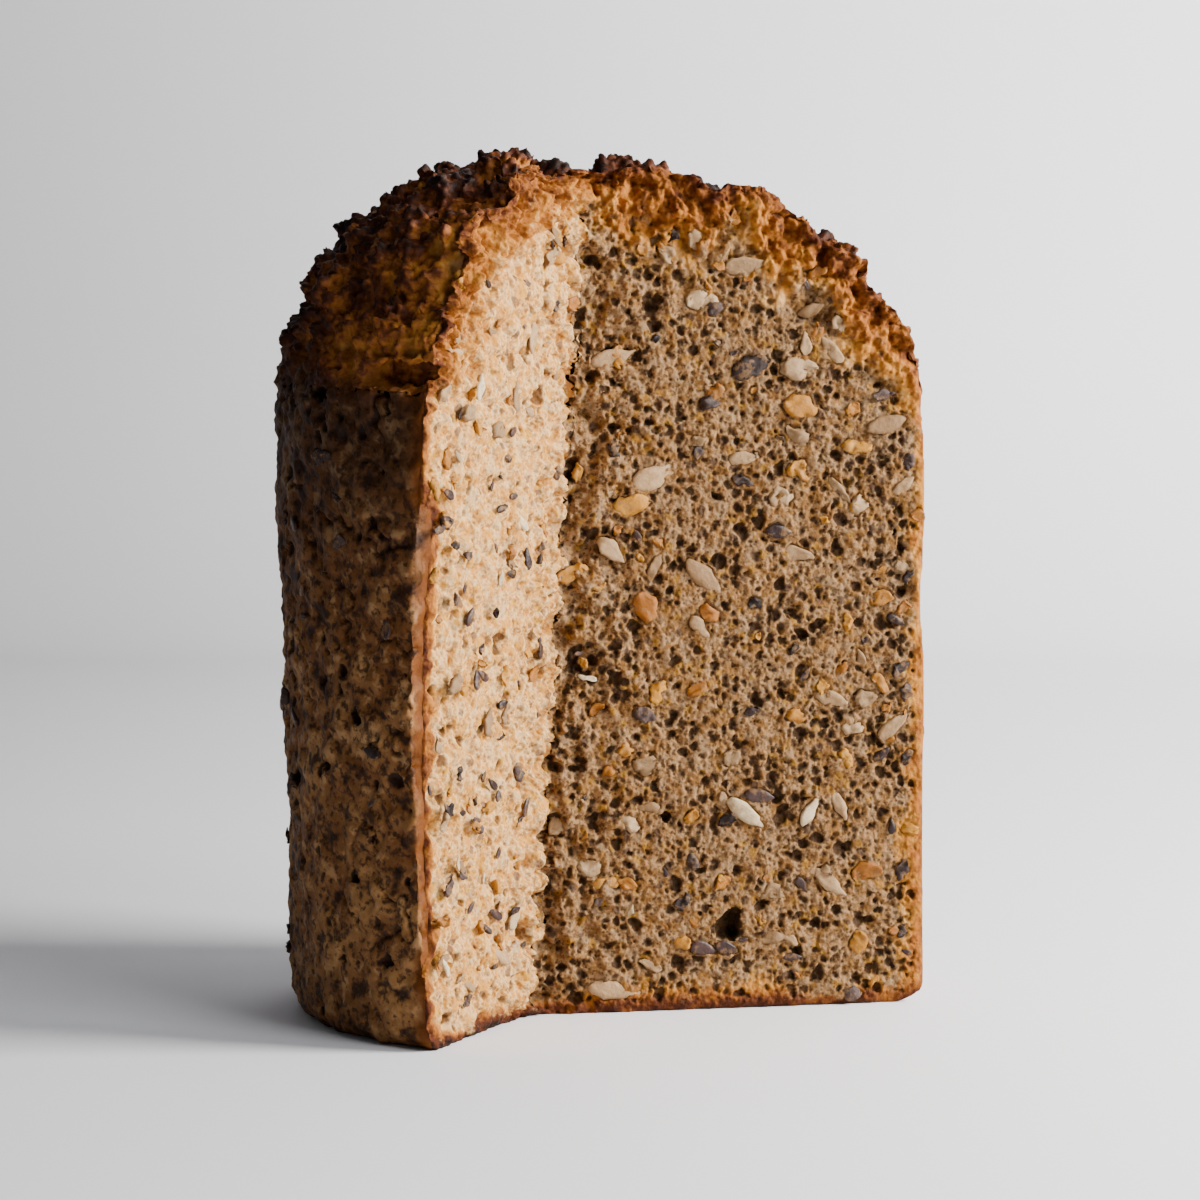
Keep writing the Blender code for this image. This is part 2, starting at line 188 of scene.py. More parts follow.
class Bench:
    """Lays nodes in one tree and wires them."""

    def __init__(self, tree: bpy.types.NodeTree) -> None:
        """Keeps the tree.

        Args:
            tree: a shader tree or a geometry tree.
        """
        self.tree = tree
        self.shading = tree.bl_idname == "ShaderNodeTree"

    def add(
        self, kind: str, values: dict[str | int, Value] | None = None, **settings: object
    ) -> bpy.types.Node:
        """Adds a node.

        Args:
            kind: the node's type.
            values: what goes into its sockets, as plain values or other nodes' outputs.
            settings: the node's own options.

        Returns:
            The new node.
        """
        node = self.tree.nodes.new(kind)
        for name, setting in settings.items():
            setattr(node, name, setting)
        for key, value in (values or {}).items():
            if isinstance(value, bpy.types.NodeSocket):
                self.tree.links.new(value, node.inputs[key])
            elif node.inputs[key].type == "RGBA" and len(value) == 3:
                node.inputs[key].default_value = (*value, 1.0)
            else:
                node.inputs[key].default_value = value
        return node

    def math(self, operation: str, first: Value, second: Value = 0.0) -> Socket:
        """One sum on two numbers.

        Args:
            operation: the Math node's operation.
            first: the first number.
            second: the second number.

        Returns:
            The result's socket.
        """
        return self.add("ShaderNodeMath", {0: first, 1: second}, operation=operation).outputs[0]

    def times(self, first: Value, second: Value) -> Socket:
        """The product of two numbers."""
        return self.math("MULTIPLY", first, second)

    def plus(self, first: Value, second: Value) -> Socket:
        """The sum of two numbers."""
        return self.math("ADD", first, second)

    def minus(self, first: Value, second: Value) -> Socket:
        """The first number less the second."""
        return self.math("SUBTRACT", first, second)

    def axis(self, vector: Socket, number: int) -> Socket:
        """One of a vector's three numbers."""
        return self.add("ShaderNodeSeparateXYZ", {0: vector}).outputs[number]

    def vector(self, operation: str, first: Value, second: Value = (0.0, 0.0, 0.0)) -> Socket:
        """One sum on two vectors.

        Args:
            operation: the Vector Math node's operation.
            first: the first vector.
            second: the second vector, or the scale.

        Returns:
            The socket of the resulting vector, or of the number for a dot product or a length.
        """
        key = "Scale" if operation == "SCALE" else 1
        node = self.add("ShaderNodeVectorMath", {0: first, key: second}, operation=operation)
        return node.outputs[1 if operation in ("DOT_PRODUCT", "LENGTH") else 0]

    def span(
        self, value: Value, low: float, high: float, start: Value = 0.0, end: Value = 1.0
    ) -> Socket:
        """Turns a run of values into another, smoothly and held at both ends.

        Args:
            value: the number to turn.
            low: where the run begins.
            high: where the run ends.
            start: the result at low.
            end: the result at high.

        Returns:
            The result's socket.
        """
        flip = low > high
        low, high = (high, low) if flip else (low, high)
        start, end = (end, start) if flip else (start, end)
        values = {0: value, 1: low, 2: high, 3: start, 4: end}
        return self.add(
            "ShaderNodeMapRange", values, interpolation_type="SMOOTHSTEP", clamp=True
        ).outputs[0]

    def blend(self, share: Value, first: Value, second: Value, way: str = "MIX") -> Socket:
        """Mixes two colours.

        Args:
            share: how much of the second is taken.
            first: the first colour.
            second: the second colour.
            way: the Mix node's blend type.

        Returns:
            The mixed colour's socket.
        """
        values = {0: share, 6: first, 7: second}
        node = self.add("ShaderNodeMix", values, data_type="RGBA", blend_type=way)
        return node.outputs[2]

    def noise(
        self, at: Socket, size: float, detail: float = 2.0, rough: float = 0.5, key: int = 0
    ) -> Socket:
        """Soft noise.

        Args:
            at: where it is read.
            size: the size of its blotches, in metres.
            detail: how many finer layers it has.
            rough: how strong the finer layers are.
            key: 0 for a number, 1 for a colour.

        Returns:
            The noise's socket.
        """
        values = {"Vector": at, "Scale": 1.0 / size, "Detail": detail, "Roughness": rough}
        return self.add("ShaderNodeTexNoise", values).outputs[key]

    def stir(self, at: Socket, size: float, detail: float, reach: float) -> Socket:
        """Moves the places at which a pattern is read, so that its shapes are uneven.

        Args:
            at: the places.
            size: the size of the noise that moves them, in metres.
            detail: how many finer layers it has.
            reach: how far it moves them, in metres.

        Returns:
            The moved places' socket.
        """
        way = self.vector("SUBTRACT", self.noise(at, size, detail, key=1), (0.5, 0.5, 0.5))
        return self.vector("ADD", at, self.vector("SCALE", way, reach))

    def cells(self, at: Socket, size: float) -> bpy.types.Node:
        """Random cells.

        Args:
            at: where they are read.
            size: the size of a cell, in metres.

        Returns:
            The Voronoi node.
        """
        return self.add("ShaderNodeTexVoronoi", {"Vector": at, "Scale": 1.0 / size})

    def lumps(self, at: Socket, size: float) -> Socket:
        """Rounded lumps with creases between them.

        Args:
            at: where they are read.
            size: the size of a lump, in metres.

        Returns:
            A socket that gives 1 on a lump and 0 in a crease.
        """
        far = self.times(self.cells(at, size).outputs["Distance"], 1.25)
        return self.minus(1.0, self.math("POWER", self.math("MINIMUM", far, 1.0), 2.0))

    def browning(self, level: Socket) -> Socket:
        """The colour that baking gives.

        Args:
            level: 0 where the bread is golden and 1 where it is singed.

        Returns:
            The colour's socket.
        """
        ramp = self.add("ShaderNodeValToRGB", {0: level})
        stops = ramp.color_ramp.elements
        while len(stops) < len(BROWNING):
            stops.new(0.5)
        for stop, (at, colour) in zip(stops, BROWNING):
            stop.position = at
            stop.color = (*colour, 1.0)
        return ramp.outputs[0]

    def read(self, name: str) -> Socket:
        """A number stored on the mesh.

        Args:
            name: the attribute's name.

        Returns:
            The number's socket.
        """
        if self.shading:
            return self.add("ShaderNodeAttribute", attribute_name=name).outputs["Fac"]
        node = self.add("GeometryNodeInputNamedAttribute", data_type="FLOAT")
        node.inputs["Name"].default_value = name
        return node.outputs[0]


class ReliefBench(Bench):
    """A geometry tree that passes one mesh along and shapes it step by step."""

    def __init__(self, name: str) -> None:
        """Starts a tree with a mesh going in.

        Args:
            name: the tree's name.
        """
        tree = bpy.data.node_groups.new(name, "GeometryNodeTree")
        tree.interface.new_socket("Geometry", in_out="INPUT", socket_type="NodeSocketGeometry")
        tree.interface.new_socket("Geometry", in_out="OUTPUT", socket_type="NodeSocketGeometry")
        super().__init__(tree)
        self.mesh = self.add("NodeGroupInput").outputs[0]
        self.spot = self.add("GeometryNodeInputPosition").outputs[0]

    def store(self, name: str, value: Value) -> None:
        """Stores a number on every point.

        Args:
            name: the attribute's name.
            value: the number.
        """
        node = self.add(
            "GeometryNodeStoreNamedAttribute",
            {"Geometry": self.mesh, "Value": value},
            data_type="FLOAT",
            domain="POINT",
        )
        node.inputs["Name"].default_value = name
        self.mesh = node.outputs[0]

    def push(self, along: Socket, amount: Value) -> None:
        """Moves every point along a direction.

        Args:
            along: the direction.
            amount: how far, in metres.
        """
        offset = self.vector("SCALE", along, amount)
        self.mesh = self.add(
            "GeometryNodeSetPosition", {"Geometry": self.mesh, "Offset": offset}
        ).outputs[0]

    def pit(self, along: Socket, bubbles: Bubbles, share: Socket, rarity: float) -> None:
        """Sinks round hollows into the mesh, where a bubble reaches the surface.

        Args:
            along: the way the surface looks.
            bubbles: the bubbles' sizes.
            share: how much of its radius a bubble keeps at each place.
            rarity: how much rarer large bubbles are than small ones.
        """
        spot = self.stir(self.spot, bubbles.apart * 0.7, 1.0, bubbles.apart * 0.55)
        cell = self.cells(spot, bubbles.apart)
        there = self.vector("SUBTRACT", cell.outputs["Position"], spot)
        ahead = self.vector("DOT_PRODUCT", there, along)
        far = self.vector("LENGTH", there)
        draw = self.axis(cell.outputs["Color"], 0)
        drawn = self.times(self.math("POWER", draw, rarity), bubbles.most - bubbles.least)
        wide = self.plus(drawn, bubbles.least)
        radius = self.times(wide, share)
        aside = self.minus(self.math("POWER", far, 2.0), self.math("POWER", ahead, 2.0))
        chord = self.minus(self.math("POWER", radius, 2.0), aside)
        reach = self.minus(self.math("SQRT", self.math("MAXIMUM", chord, 0.0)), ahead)
        inside = self.math("LESS_THAN", far, radius)
        depth = self.times(inside, self.math("MAXIMUM", reach, 0.0))
        # The depth is kept as pit, which the materials paint as shade.
        self.store("pit", self.plus(self.read("pit"), depth))
        self.push(along, self.times(depth, -1.0))

    def pores(self, flat: Socket, along: Socket, bubbles: Bubbles, share: Socket) -> None:
        """Sinks bowls into a cut face, each the half of a bubble that the knife has halved.

        Args:
            flat: the place within the cut face.
            along: the way the cut face looks.
            bubbles: the bubbles' sizes.
            share: how much of its radius a bubble keeps at each place.
        """
        at = self.stir(flat, bubbles.apart * 0.8, 1.0, bubbles.apart * 0.7)
        cell = self.cells(at, bubbles.apart)
        cell.voronoi_dimensions = "2D"
        draw = self.axis(cell.outputs["Color"], 0)
        wide = self.plus(self.times(draw, bubbles.most - bubbles.least), bubbles.least)
        radius = self.times(wide, share)
        far = self.times(cell.outputs["Distance"], bubbles.apart)
        chord = self.minus(self.math("POWER", radius, 2.0), self.math("POWER", far, 2.0))
        depth = self.math("SQRT", self.math("MAXIMUM", chord, 0.0))
        # The depth is kept as pit, which the crumb's material paints as shade.
        self.store("pit", self.plus(self.read("pit"), depth))
        self.push(along, self.times(depth, -0.7))

    def lumpy(self, layer: Layer, at: Socket | None = None) -> Socket:
        """The height of a layer of rounded lumps, in metres."""
        lumps = self.lumps(at or self.spot, layer.size)
        return self.times(self.minus(lumps, layer.sunk), layer.rise)

    def uneven(self, layer: Layer, detail: float, rough: float = 0.5) -> Socket:
        """The height of a layer of noise, in metres."""
        noise = self.noise(self.spot, layer.size, detail, rough)
        return self.times(self.minus(noise, layer.sunk), layer.rise)

    def close(self) -> bpy.types.NodeTree:
        """Ends the tree with the shaped mesh.

        Returns:
            The finished tree.
        """
        self.add("NodeGroupOutput", {0: self.mesh})
        return self.tree


def deselect_all() -> None:
    """Leaves nothing selected."""
    if bpy.context.object and bpy.context.object.mode != "OBJECT":
        bpy.ops.object.mode_set(mode="OBJECT")
    bpy.ops.object.select_all(action="DESELECT")


def take_up(piece: bpy.types.Object) -> None:
    """Makes one object the only one selected, and the active one."""
    deselect_all()
    piece.select_set(True)
    bpy.context.view_layer.objects.active = piece


def finish_modifiers(piece: bpy.types.Object) -> None:
    """Applies all of a piece's modifiers in order."""
    take_up(piece)
    for modifier in list(piece.modifiers):
        bpy.ops.object.modifier_apply(modifier=modifier.name)


def triangles(piece: bpy.types.Object) -> int:
    """How many triangles a piece has."""
    return sum(len(face.vertices) - 2 for face in piece.data.polygons)


@cache
def solid_skin() -> BVHTree:
    """The solid's surface, ready to be met by rays."""
    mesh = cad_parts[NODE].data
    spots = [vertex.co for vertex in mesh.vertices]
    return BVHTree.FromPolygons(spots, [tuple(face.vertices) for face in mesh.polygons])


def keep_in_box(piece: bpy.types.Object) -> None:
    """Holds a piece within the solid's own box."""
    low, high = (np.array(corner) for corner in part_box(NODE))
    spots = np.empty(len(piece.data.vertices) * 3)
    piece.data.vertices.foreach_get("co", spots)
    held = np.clip(spots.reshape(-1, 3), low, high)
    piece.data.vertices.foreach_set("co", held.ravel())
    piece.data.update()


def hand_in(piece: bpy.types.Object) -> None:
    """Places a finished piece on the loaf's body, in the solid's stead."""
    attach(piece, "root")
    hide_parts(NODE)
    LOG.info("%s: %d triangles", piece.name, triangles(piece))


@dataclass(frozen=True)
class CutPlan:
    """Where the knife went: two upright cuts that meet at a leaning line.

    The numbers are the solid's own, in metres and radians.
    """

    loaf_radius: float = 0.0575
    shoulder: float = 0.108
    crown: float = 0.1500
    apex: tuple[float, float] = (-0.0088, -0.0095)
    apex_lean: tuple[float, float] = (0.0105, 0.0055)
    mid_height: float = 0.075
    lean_span: float = 0.150
    rear_angle: float = math.radians(2.0)
    near_angle: float = math.radians(-121.5)

    def angle(self, region: Region) -> float:
        """The angle at which a cut reaches the wall."""
        return self.rear_angle if region is Region.REAR_CRUMB else self.near_angle

    def run(self, region: Region) -> np.ndarray:
        """The level direction of a cut, from the line where the cuts meet to the wall."""
        angle = self.angle(region)
        end = np.array([math.cos(angle), math.sin(angle)]) * self.loaf_radius
        along = end - np.array(self.apex)
        return along / np.linalg.norm(along)

    def outward(self, region: Region) -> np.ndarray:
        """The way a cut face looks, into the wedge that is gone."""
        along = self.run(region)
        turn = -1.0 if region is Region.REAR_CRUMB else 1.0
        return np.array([-along[1] * turn, along[0] * turn])  # a quarter turn to the open side

    def lean_back(self, spots: np.ndarray) -> np.ndarray:
        """Stands the leaning cuts upright again.

        Args:
            spots: points as rows of x, y and z.

        Returns:
            The points' x and y as they are before the knife leans.
        """
        reach = np.linalg.norm(spots[:, :2], axis=1) / self.loaf_radius
        inner = np.clip(1.0 - reach**2, 0.0, None)
        share = inner * (spots[:, 2] - self.mid_height) / self.lean_span
        return spots[:, :2] - share[:, None] * np.array(self.apex_lean)

    def before(self, spots: np.ndarray, region: Region) -> np.ndarray:
        """How far points stand in front of a cut face, in metres."""
        return (self.lean_back(spots) - np.array(self.apex)) @ self.outward(region)

    def span(self, region: Region) -> tuple[float, float]:
        """How far seeds reach along a part of the surface, from one end to the other."""
        margin = 2.0 * MM
        if region is Region.WALL:
            turn = margin / self.loaf_radius
            return self.rear_angle + turn, self.near_angle + 2.0 * math.pi - turn
        angle = self.angle(region)
        end = np.array([math.cos(angle), math.sin(angle)]) * self.loaf_radius
        return margin, float(np.linalg.norm(end - np.array(self.apex))) - margin

    def top(self, region: Region, along: float) -> float:
        """How high seeds reach at a place along a part of the surface."""
        if region is Region.WALL:
            return self.shoulder
        level = np.array(self.apex) + self.run(region) * along
        reach = min(1.0, float(np.linalg.norm(level)) / self.loaf_radius)
        return self.shoulder + (self.crown - self.shoulder) * math.sqrt(1.0 - reach**2) - 7.0 * MM

    def place(self, region: Region, along: float, height: float, turn: float) -> Matrix:
        """The place of something that lies in a cut face or in the wall.

        Args:
            region: which part of the surface.
            along: the distance from the line where the cuts meet, or the angle on the wall.
            height: the height above the base, in metres.
            turn: the turn within the surface, in radians.

        Returns:
            A matrix whose X and Y lie in the surface and whose Z looks out of it.
        """
        if region is Region.WALL:
            ahead = Vector((math.cos(along), math.sin(along), 0.0))
            start = 2.0 * self.loaf_radius * ahead + Vector((0.0, 0.0, height))
            spot = solid_skin().ray_cast(start, -ahead)[0]
        else:
            level = np.array(self.apex) + self.run(region) * along
            reach = float(np.linalg.norm(level)) / self.loaf_radius
            share = max(0.0, 1.0 - reach**2) * (height - self.mid_height) / self.lean_span
            spot = Vector((*(level + share * np.array(self.apex_lean)), height))
            ahead = Vector((*self.outward(region), 0.0))
        upright = Vector((0.0, 0.0, 1.0))
        turned = Matrix((upright.cross(ahead), upright, ahead)).transposed().to_4x4()
        return Matrix.Translation(spot) @ turned @ Matrix.Rotation(turn, 4, "Z")


def finish_off(
    bench: Bench, colour: Socket, height: Socket, relief: float, rough: float, shine: float = 0.35
) -> None:
    """Wires a colour and a fine relief into a material's shader.

    Args:
        bench: the material's bench.
        colour: the colour.
        height: the fine relief's height, from 0 to about 1.
        relief: how high the fine relief is, in metres.
        rough: the surface's roughness.
        shine: the surface's specular level.
    """
    shader = bench.tree.nodes["Principled BSDF"]
    bump = bench.add("ShaderNodeBump", {"Height": height, "Distance": relief, "Strength": 0.6})
    bench.tree.links.new(colour, shader.inputs["Base Color"])
    bench.tree.links.new(bump.outputs[0], shader.inputs["Normal"])
    shader.inputs["Roughness"].default_value = rough
    shader.inputs["Specular IOR Level"].default_value = shine


def material_bench(name: str) -> tuple[bpy.types.Material, Bench, Socket]:
    """A new material with its bench.

    Args:
        name: the material's name.

    Returns:
        The material, its bench, and the socket of the object's coordinates.
    """
    made = bpy.data.materials.new(name)
    made.use_nodes = True
    bench = Bench(made.node_tree)
    return made, bench, bench.add("ShaderNodeTexCoord").outputs["Object"]


@dataclass(frozen=True)
class CrumbFinish:
    """The cut bread: pale walls round pores darkened with painted shade, golden and then brown
    towards the crust.
    """

    name: str
    light: Colour
    body: Colour
    warm: Colour
    cool: Colour
    bran: Colour
    flake: Colour
    # The pore colour is painted shade, for the pores, the tiny holes and the gaps round seeds.
    pore: Colour
    tiny_pore_shade: float
    rim_level: float
    rim_fall: float
    crown_level: float
    crown_band: float
    crown_fall: float = 0.44
    rim_band: float = 3.4 * MM

    def make(self) -> bpy.types.Material:
        """Mixes the crumb's material.

        Returns:
            The material.
        """
        made, bench, at = material_bench(self.name)
        blotch = bench.noise(at, 0.0050, 3.0, 0.6)
        patch = bench.noise(at, 0.0023, 2.0, 0.6)
        fine = bench.noise(at, 0.0009, 3.0, 0.65)
        holes = bench.cells(at, 0.00095).outputs["Distance"]
        colour = bench.blend(bench.span(fine, 0.36, 0.60), self.body, self.light)
        for start, end, tint in ((0.50, 0.62, self.warm), (0.46, 0.36, self.cool)):
            share = bench.times(bench.span(patch, start, end), 0.8)
            colour = bench.blend(share, colour, tint)
        colour = self.flecks(bench, at, colour)
        # Painted shade: tiny pores that have no relief are drawn as dark specks of the pore colour.
        speck = bench.times(bench.span(holes, 0.38, 0.16), self.tiny_pore_shade)
        colour = bench.blend(speck, colour, self.pore)
        depth = self.depth(bench, at)
        toasted = bench.browning(self.level(bench, at, depth, blotch, patch))
        colour = bench.blend(self.toast(bench, depth, blotch, fine), colour, toasted)
        # Painted shade: the crumb is darkened towards the pore colour by the stored depth of its
        # pores, caves and seed gaps.
        sunk = bench.span(bench.read("pit"), 0.00005, 0.00085)
        colour = bench.blend(bench.times(sunk, 0.88), colour, self.pore)
        height = bench.plus(fine, bench.times(holes, 0.9))
        finish_off(bench, colour, height, 0.00045, 0.75, 0.12)
        return made

    def flecks(self, bench: Bench, at: Socket, colour: Socket) -> Socket:
        """Strews flecks of dark bran and golden flakes over the crumb.

        Args:
            bench: the material's bench.
            at: the object's coordinates.
            colour: the crumb's colour.

        Returns:
            The colour's socket.
        """
        stir = bench.vector("SCALE", bench.noise(at, 0.0020, 2.0, key=1), 0.0016)
        cell = bench.cells(bench.vector("ADD", at, stir), 0.0019)
        pick = bench.axis(cell.outputs["Color"], 0)
        core = bench.span(cell.outputs["Distance"], 0.50, 0.34)
        for start, end, tint in ((0.76, 0.80, self.flake), (0.13, 0.09, self.bran)):
            share = bench.times(bench.span(pick, start, end), core)
            colour = bench.blend(bench.times(share, 0.8), colour, tint)
        return colour

    def depth(self, bench: Bench, at: Socket) -> Socket:
        """The distance to the crust, as a share of the band that the oven has browned."""
        band = bench.times(bench.read("high"), self.crown_band - self.rim_band)
        band = bench.plus(band, self.rim_band)
        band = bench.times(band, bench.span(bench.noise(at, 0.016, 2.0), 0.36, 0.64, 0.5, 1.5))
        return bench.math("DIVIDE", bench.read("to_crust"), band)

    def toast(self, bench: Bench, depth: Socket, blotch: Socket, fine: Socket) -> Socket:
        """How much of the crumb's own colour the oven has taken.

        Args:
            bench: the material's bench.
            depth: the distance to the crust, as a share of the browned band.
            blotch: wide noise.
            fine: fine noise.

        Returns:
            The share's socket.
        """
        stir = bench.times(bench.minus(blotch, 0.5), 2.2)
        stir = bench.plus(stir, bench.times(bench.minus(fine, 0.5), 1.0))
        return bench.span(bench.plus(depth, stir), 1.20, 0.60)

    def level(
        self, bench: Bench, at: Socket, depth: Socket, blotch: Socket, patch: Socket
    ) -> Socket:
        """How brown the oven has made the band.

        Args:
            bench: the material's bench.
            at: the object's coordinates.
            depth: the distance to the crust, as a share of the browned band.
            blotch: wide noise.
            patch: noise as wide as a crumb.

        Returns:
            The level's socket.
        """
        rise = bench.times(bench.read("high"), self.crown_level - self.rim_level)
        most = bench.plus(rise, self.rim_level)
        height = bench.axis(at, 2)
        most = bench.plus(most, bench.span(height, 0.0045, 0.0010, 0.0, 0.28))
        steep = bench.times(bench.read("high"), self.rim_fall - self.crown_fall)
        steep = bench.minus(steep, self.rim_fall)
        fall = bench.times(bench.math("MINIMUM", depth, 1.2), steep)
        stir = bench.times(bench.minus(blotch, 0.5), 0.55)
        stir = bench.plus(stir, bench.times(bench.minus(patch, 0.5), 0.7))
        return bench.plus(bench.plus(most, fall), stir)


@dataclass(frozen=True)
class CrustFinish:
    """The baked crust: mottled brown on the wall, and from golden to singed over the crown."""

    name: str
    dark: Colour = (0.012, 0.0035, 0.0010)
    body: Colour = (0.125, 0.046, 0.0105)
    light: Colour = (0.265, 0.128, 0.042)
    pale: Colour = (0.38, 0.210, 0.088)
    # Painted glow: the wall turns to this colour near the cut edges, for light shining through the
    # thin crust there.
    painted_edge_glow: Colour = (0.115, 0.031, 0.0010)
    painted_glow_reach: float = 6.5 * MM
    torn_reach: float = 24.0 * MM

    def make(self) -> bpy.types.Material:
        """Mixes the crust's material.

        Returns:
            The material.
        """
        made, bench, at = material_bench(self.name)
        wide = bench.noise(at, 0.010, 5.0, 0.62)
        fine = bench.noise(at, 0.0015, 3.0, 0.6)
        stir = bench.times(bench.minus(wide, 0.5), 1.2)
        share = bench.span(bench.plus(bench.read("high"), stir), 0.25, 0.75)
        torn = bench.plus(bench.span(bench.read("to_cut"), 0.034, 0.016), bench.read("top"))
        share = bench.times(share, bench.math("MINIMUM", torn, 1.0))
        colour = bench.blend(share, self.wall(bench, at, wide, fine), self.crown(bench, wide, fine))
        # Painted shade: pits and creases in the crust are darkened by their stored depth.
        sunk = bench.times(bench.span(bench.read("pit"), 0.00005, 0.0006), 0.92)
        colour = bench.blend(sunk, colour, self.dark)
        finish_off(bench, colour, fine, 0.0005, 0.62, 0.14)
        return made

    def wall(self, bench: Bench, at: Socket, wide: Socket, fine: Socket) -> Socket:
        """The colour of the crust that baked against the tin, paler towards the base, with painted
        shade towards the shoulder and a painted glow along the cut edges.

        Args:
            bench: the material's bench.
            at: the object's coordinates.
            wide: wide noise.
            fine: fine noise.

        Returns:
            The colour's socket.
        """
        height = bench.axis(at, 2)
        low = bench.span(height, 0.105, 0.015)
        cloud = bench.noise(at, 0.0042, 3.0, 0.6)
        tone = bench.plus(bench.times(wide, 0.8), bench.times(low, 0.16))
        colour = bench.blend(bench.span(tone, 0.40, 0.72), self.body, self.light)
        tan = bench.times(bench.span(cloud, 0.53, 0.66), 0.6)
        colour = bench.blend(tan, colour, self.pale)
        for source, start, end, most in ((fine, 0.50, 0.36, 0.80), (cloud, 0.48, 0.36, 0.85)):
            share = bench.times(bench.span(source, start, end), most)
            colour = bench.blend(share, colour, self.dark)
        # Painted shade: the wall is darkened upwards towards the shoulder.
        shade = bench.times(bench.span(height, 0.070, 0.108), 0.62)
        colour = bench.blend(shade, colour, self.dark)
        # Painted glow along the cut edges, where light shines through the crust.
        edge = bench.plus(bench.read("to_cut"), bench.times(wide, 0.005))
        return bench.blend(bench.span(edge, self.painted_glow_reach, 0.0030), colour, self.painted_edge_glow)

    def crown(self, bench: Bench, wide: Socket, fine: Socket) -> Socket:
        """The colour of the open crown, golden where it is torn and singed on its crags.

        Args:
            bench: the material's bench.
            wide: wide noise.
            fine: fine noise.

        Returns:
            The colour's socket.
        """
        torn = bench.span(bench.read("to_cut"), self.torn_reach, 0.0)
        level = bench.minus(0.72, bench.times(torn, 0.30))
        level = bench.plus(level, bench.span(bench.read("high"), 1.0, 0.25, 0.0, 0.42))
        level = bench.plus(level, bench.times(bench.read("top"), 0.26))
        for source, weight in ((wide, 1.15), (fine, 0.80), (bench.read("crag"), 0.55)):
            swing = bench.times(bench.minus(source, 0.5), weight)
            level = bench.plus(level, swing)
        return bench.browning(level)


@dataclass(frozen=True)
class SeedFinish:
    """A seed's skin or flesh, a little glossy."""

    name: str
    light: Colour
    dark: Colour
    film: Colour = (0.23, 0.120, 0.045)
    streak: float = 0.0012
    roughness: float = 0.62

    def make(self) -> bpy.types.Material:
        """Mixes the seed's material.

        Returns:
            The material.
        """
        made, bench, at = material_bench(self.name)
        cloud = bench.noise(at, self.streak, 3.0, 0.6)
        each = bench.times(bench.read("tint"), 0.6)
        share = bench.plus(bench.times(cloud, 0.5), each)
        colour = bench.blend(bench.span(share, 0.2, 0.85), self.light, self.dark)
        crumb = bench.times(bench.span(bench.noise(at, 0.0016, 3.0, 0.65), 0.50, 0.62), 0.45)
        colour = bench.blend(crumb, colour, self.film)
        finish_off(bench, colour, cloud, 0.0004, self.roughness, 0.22)
        return made


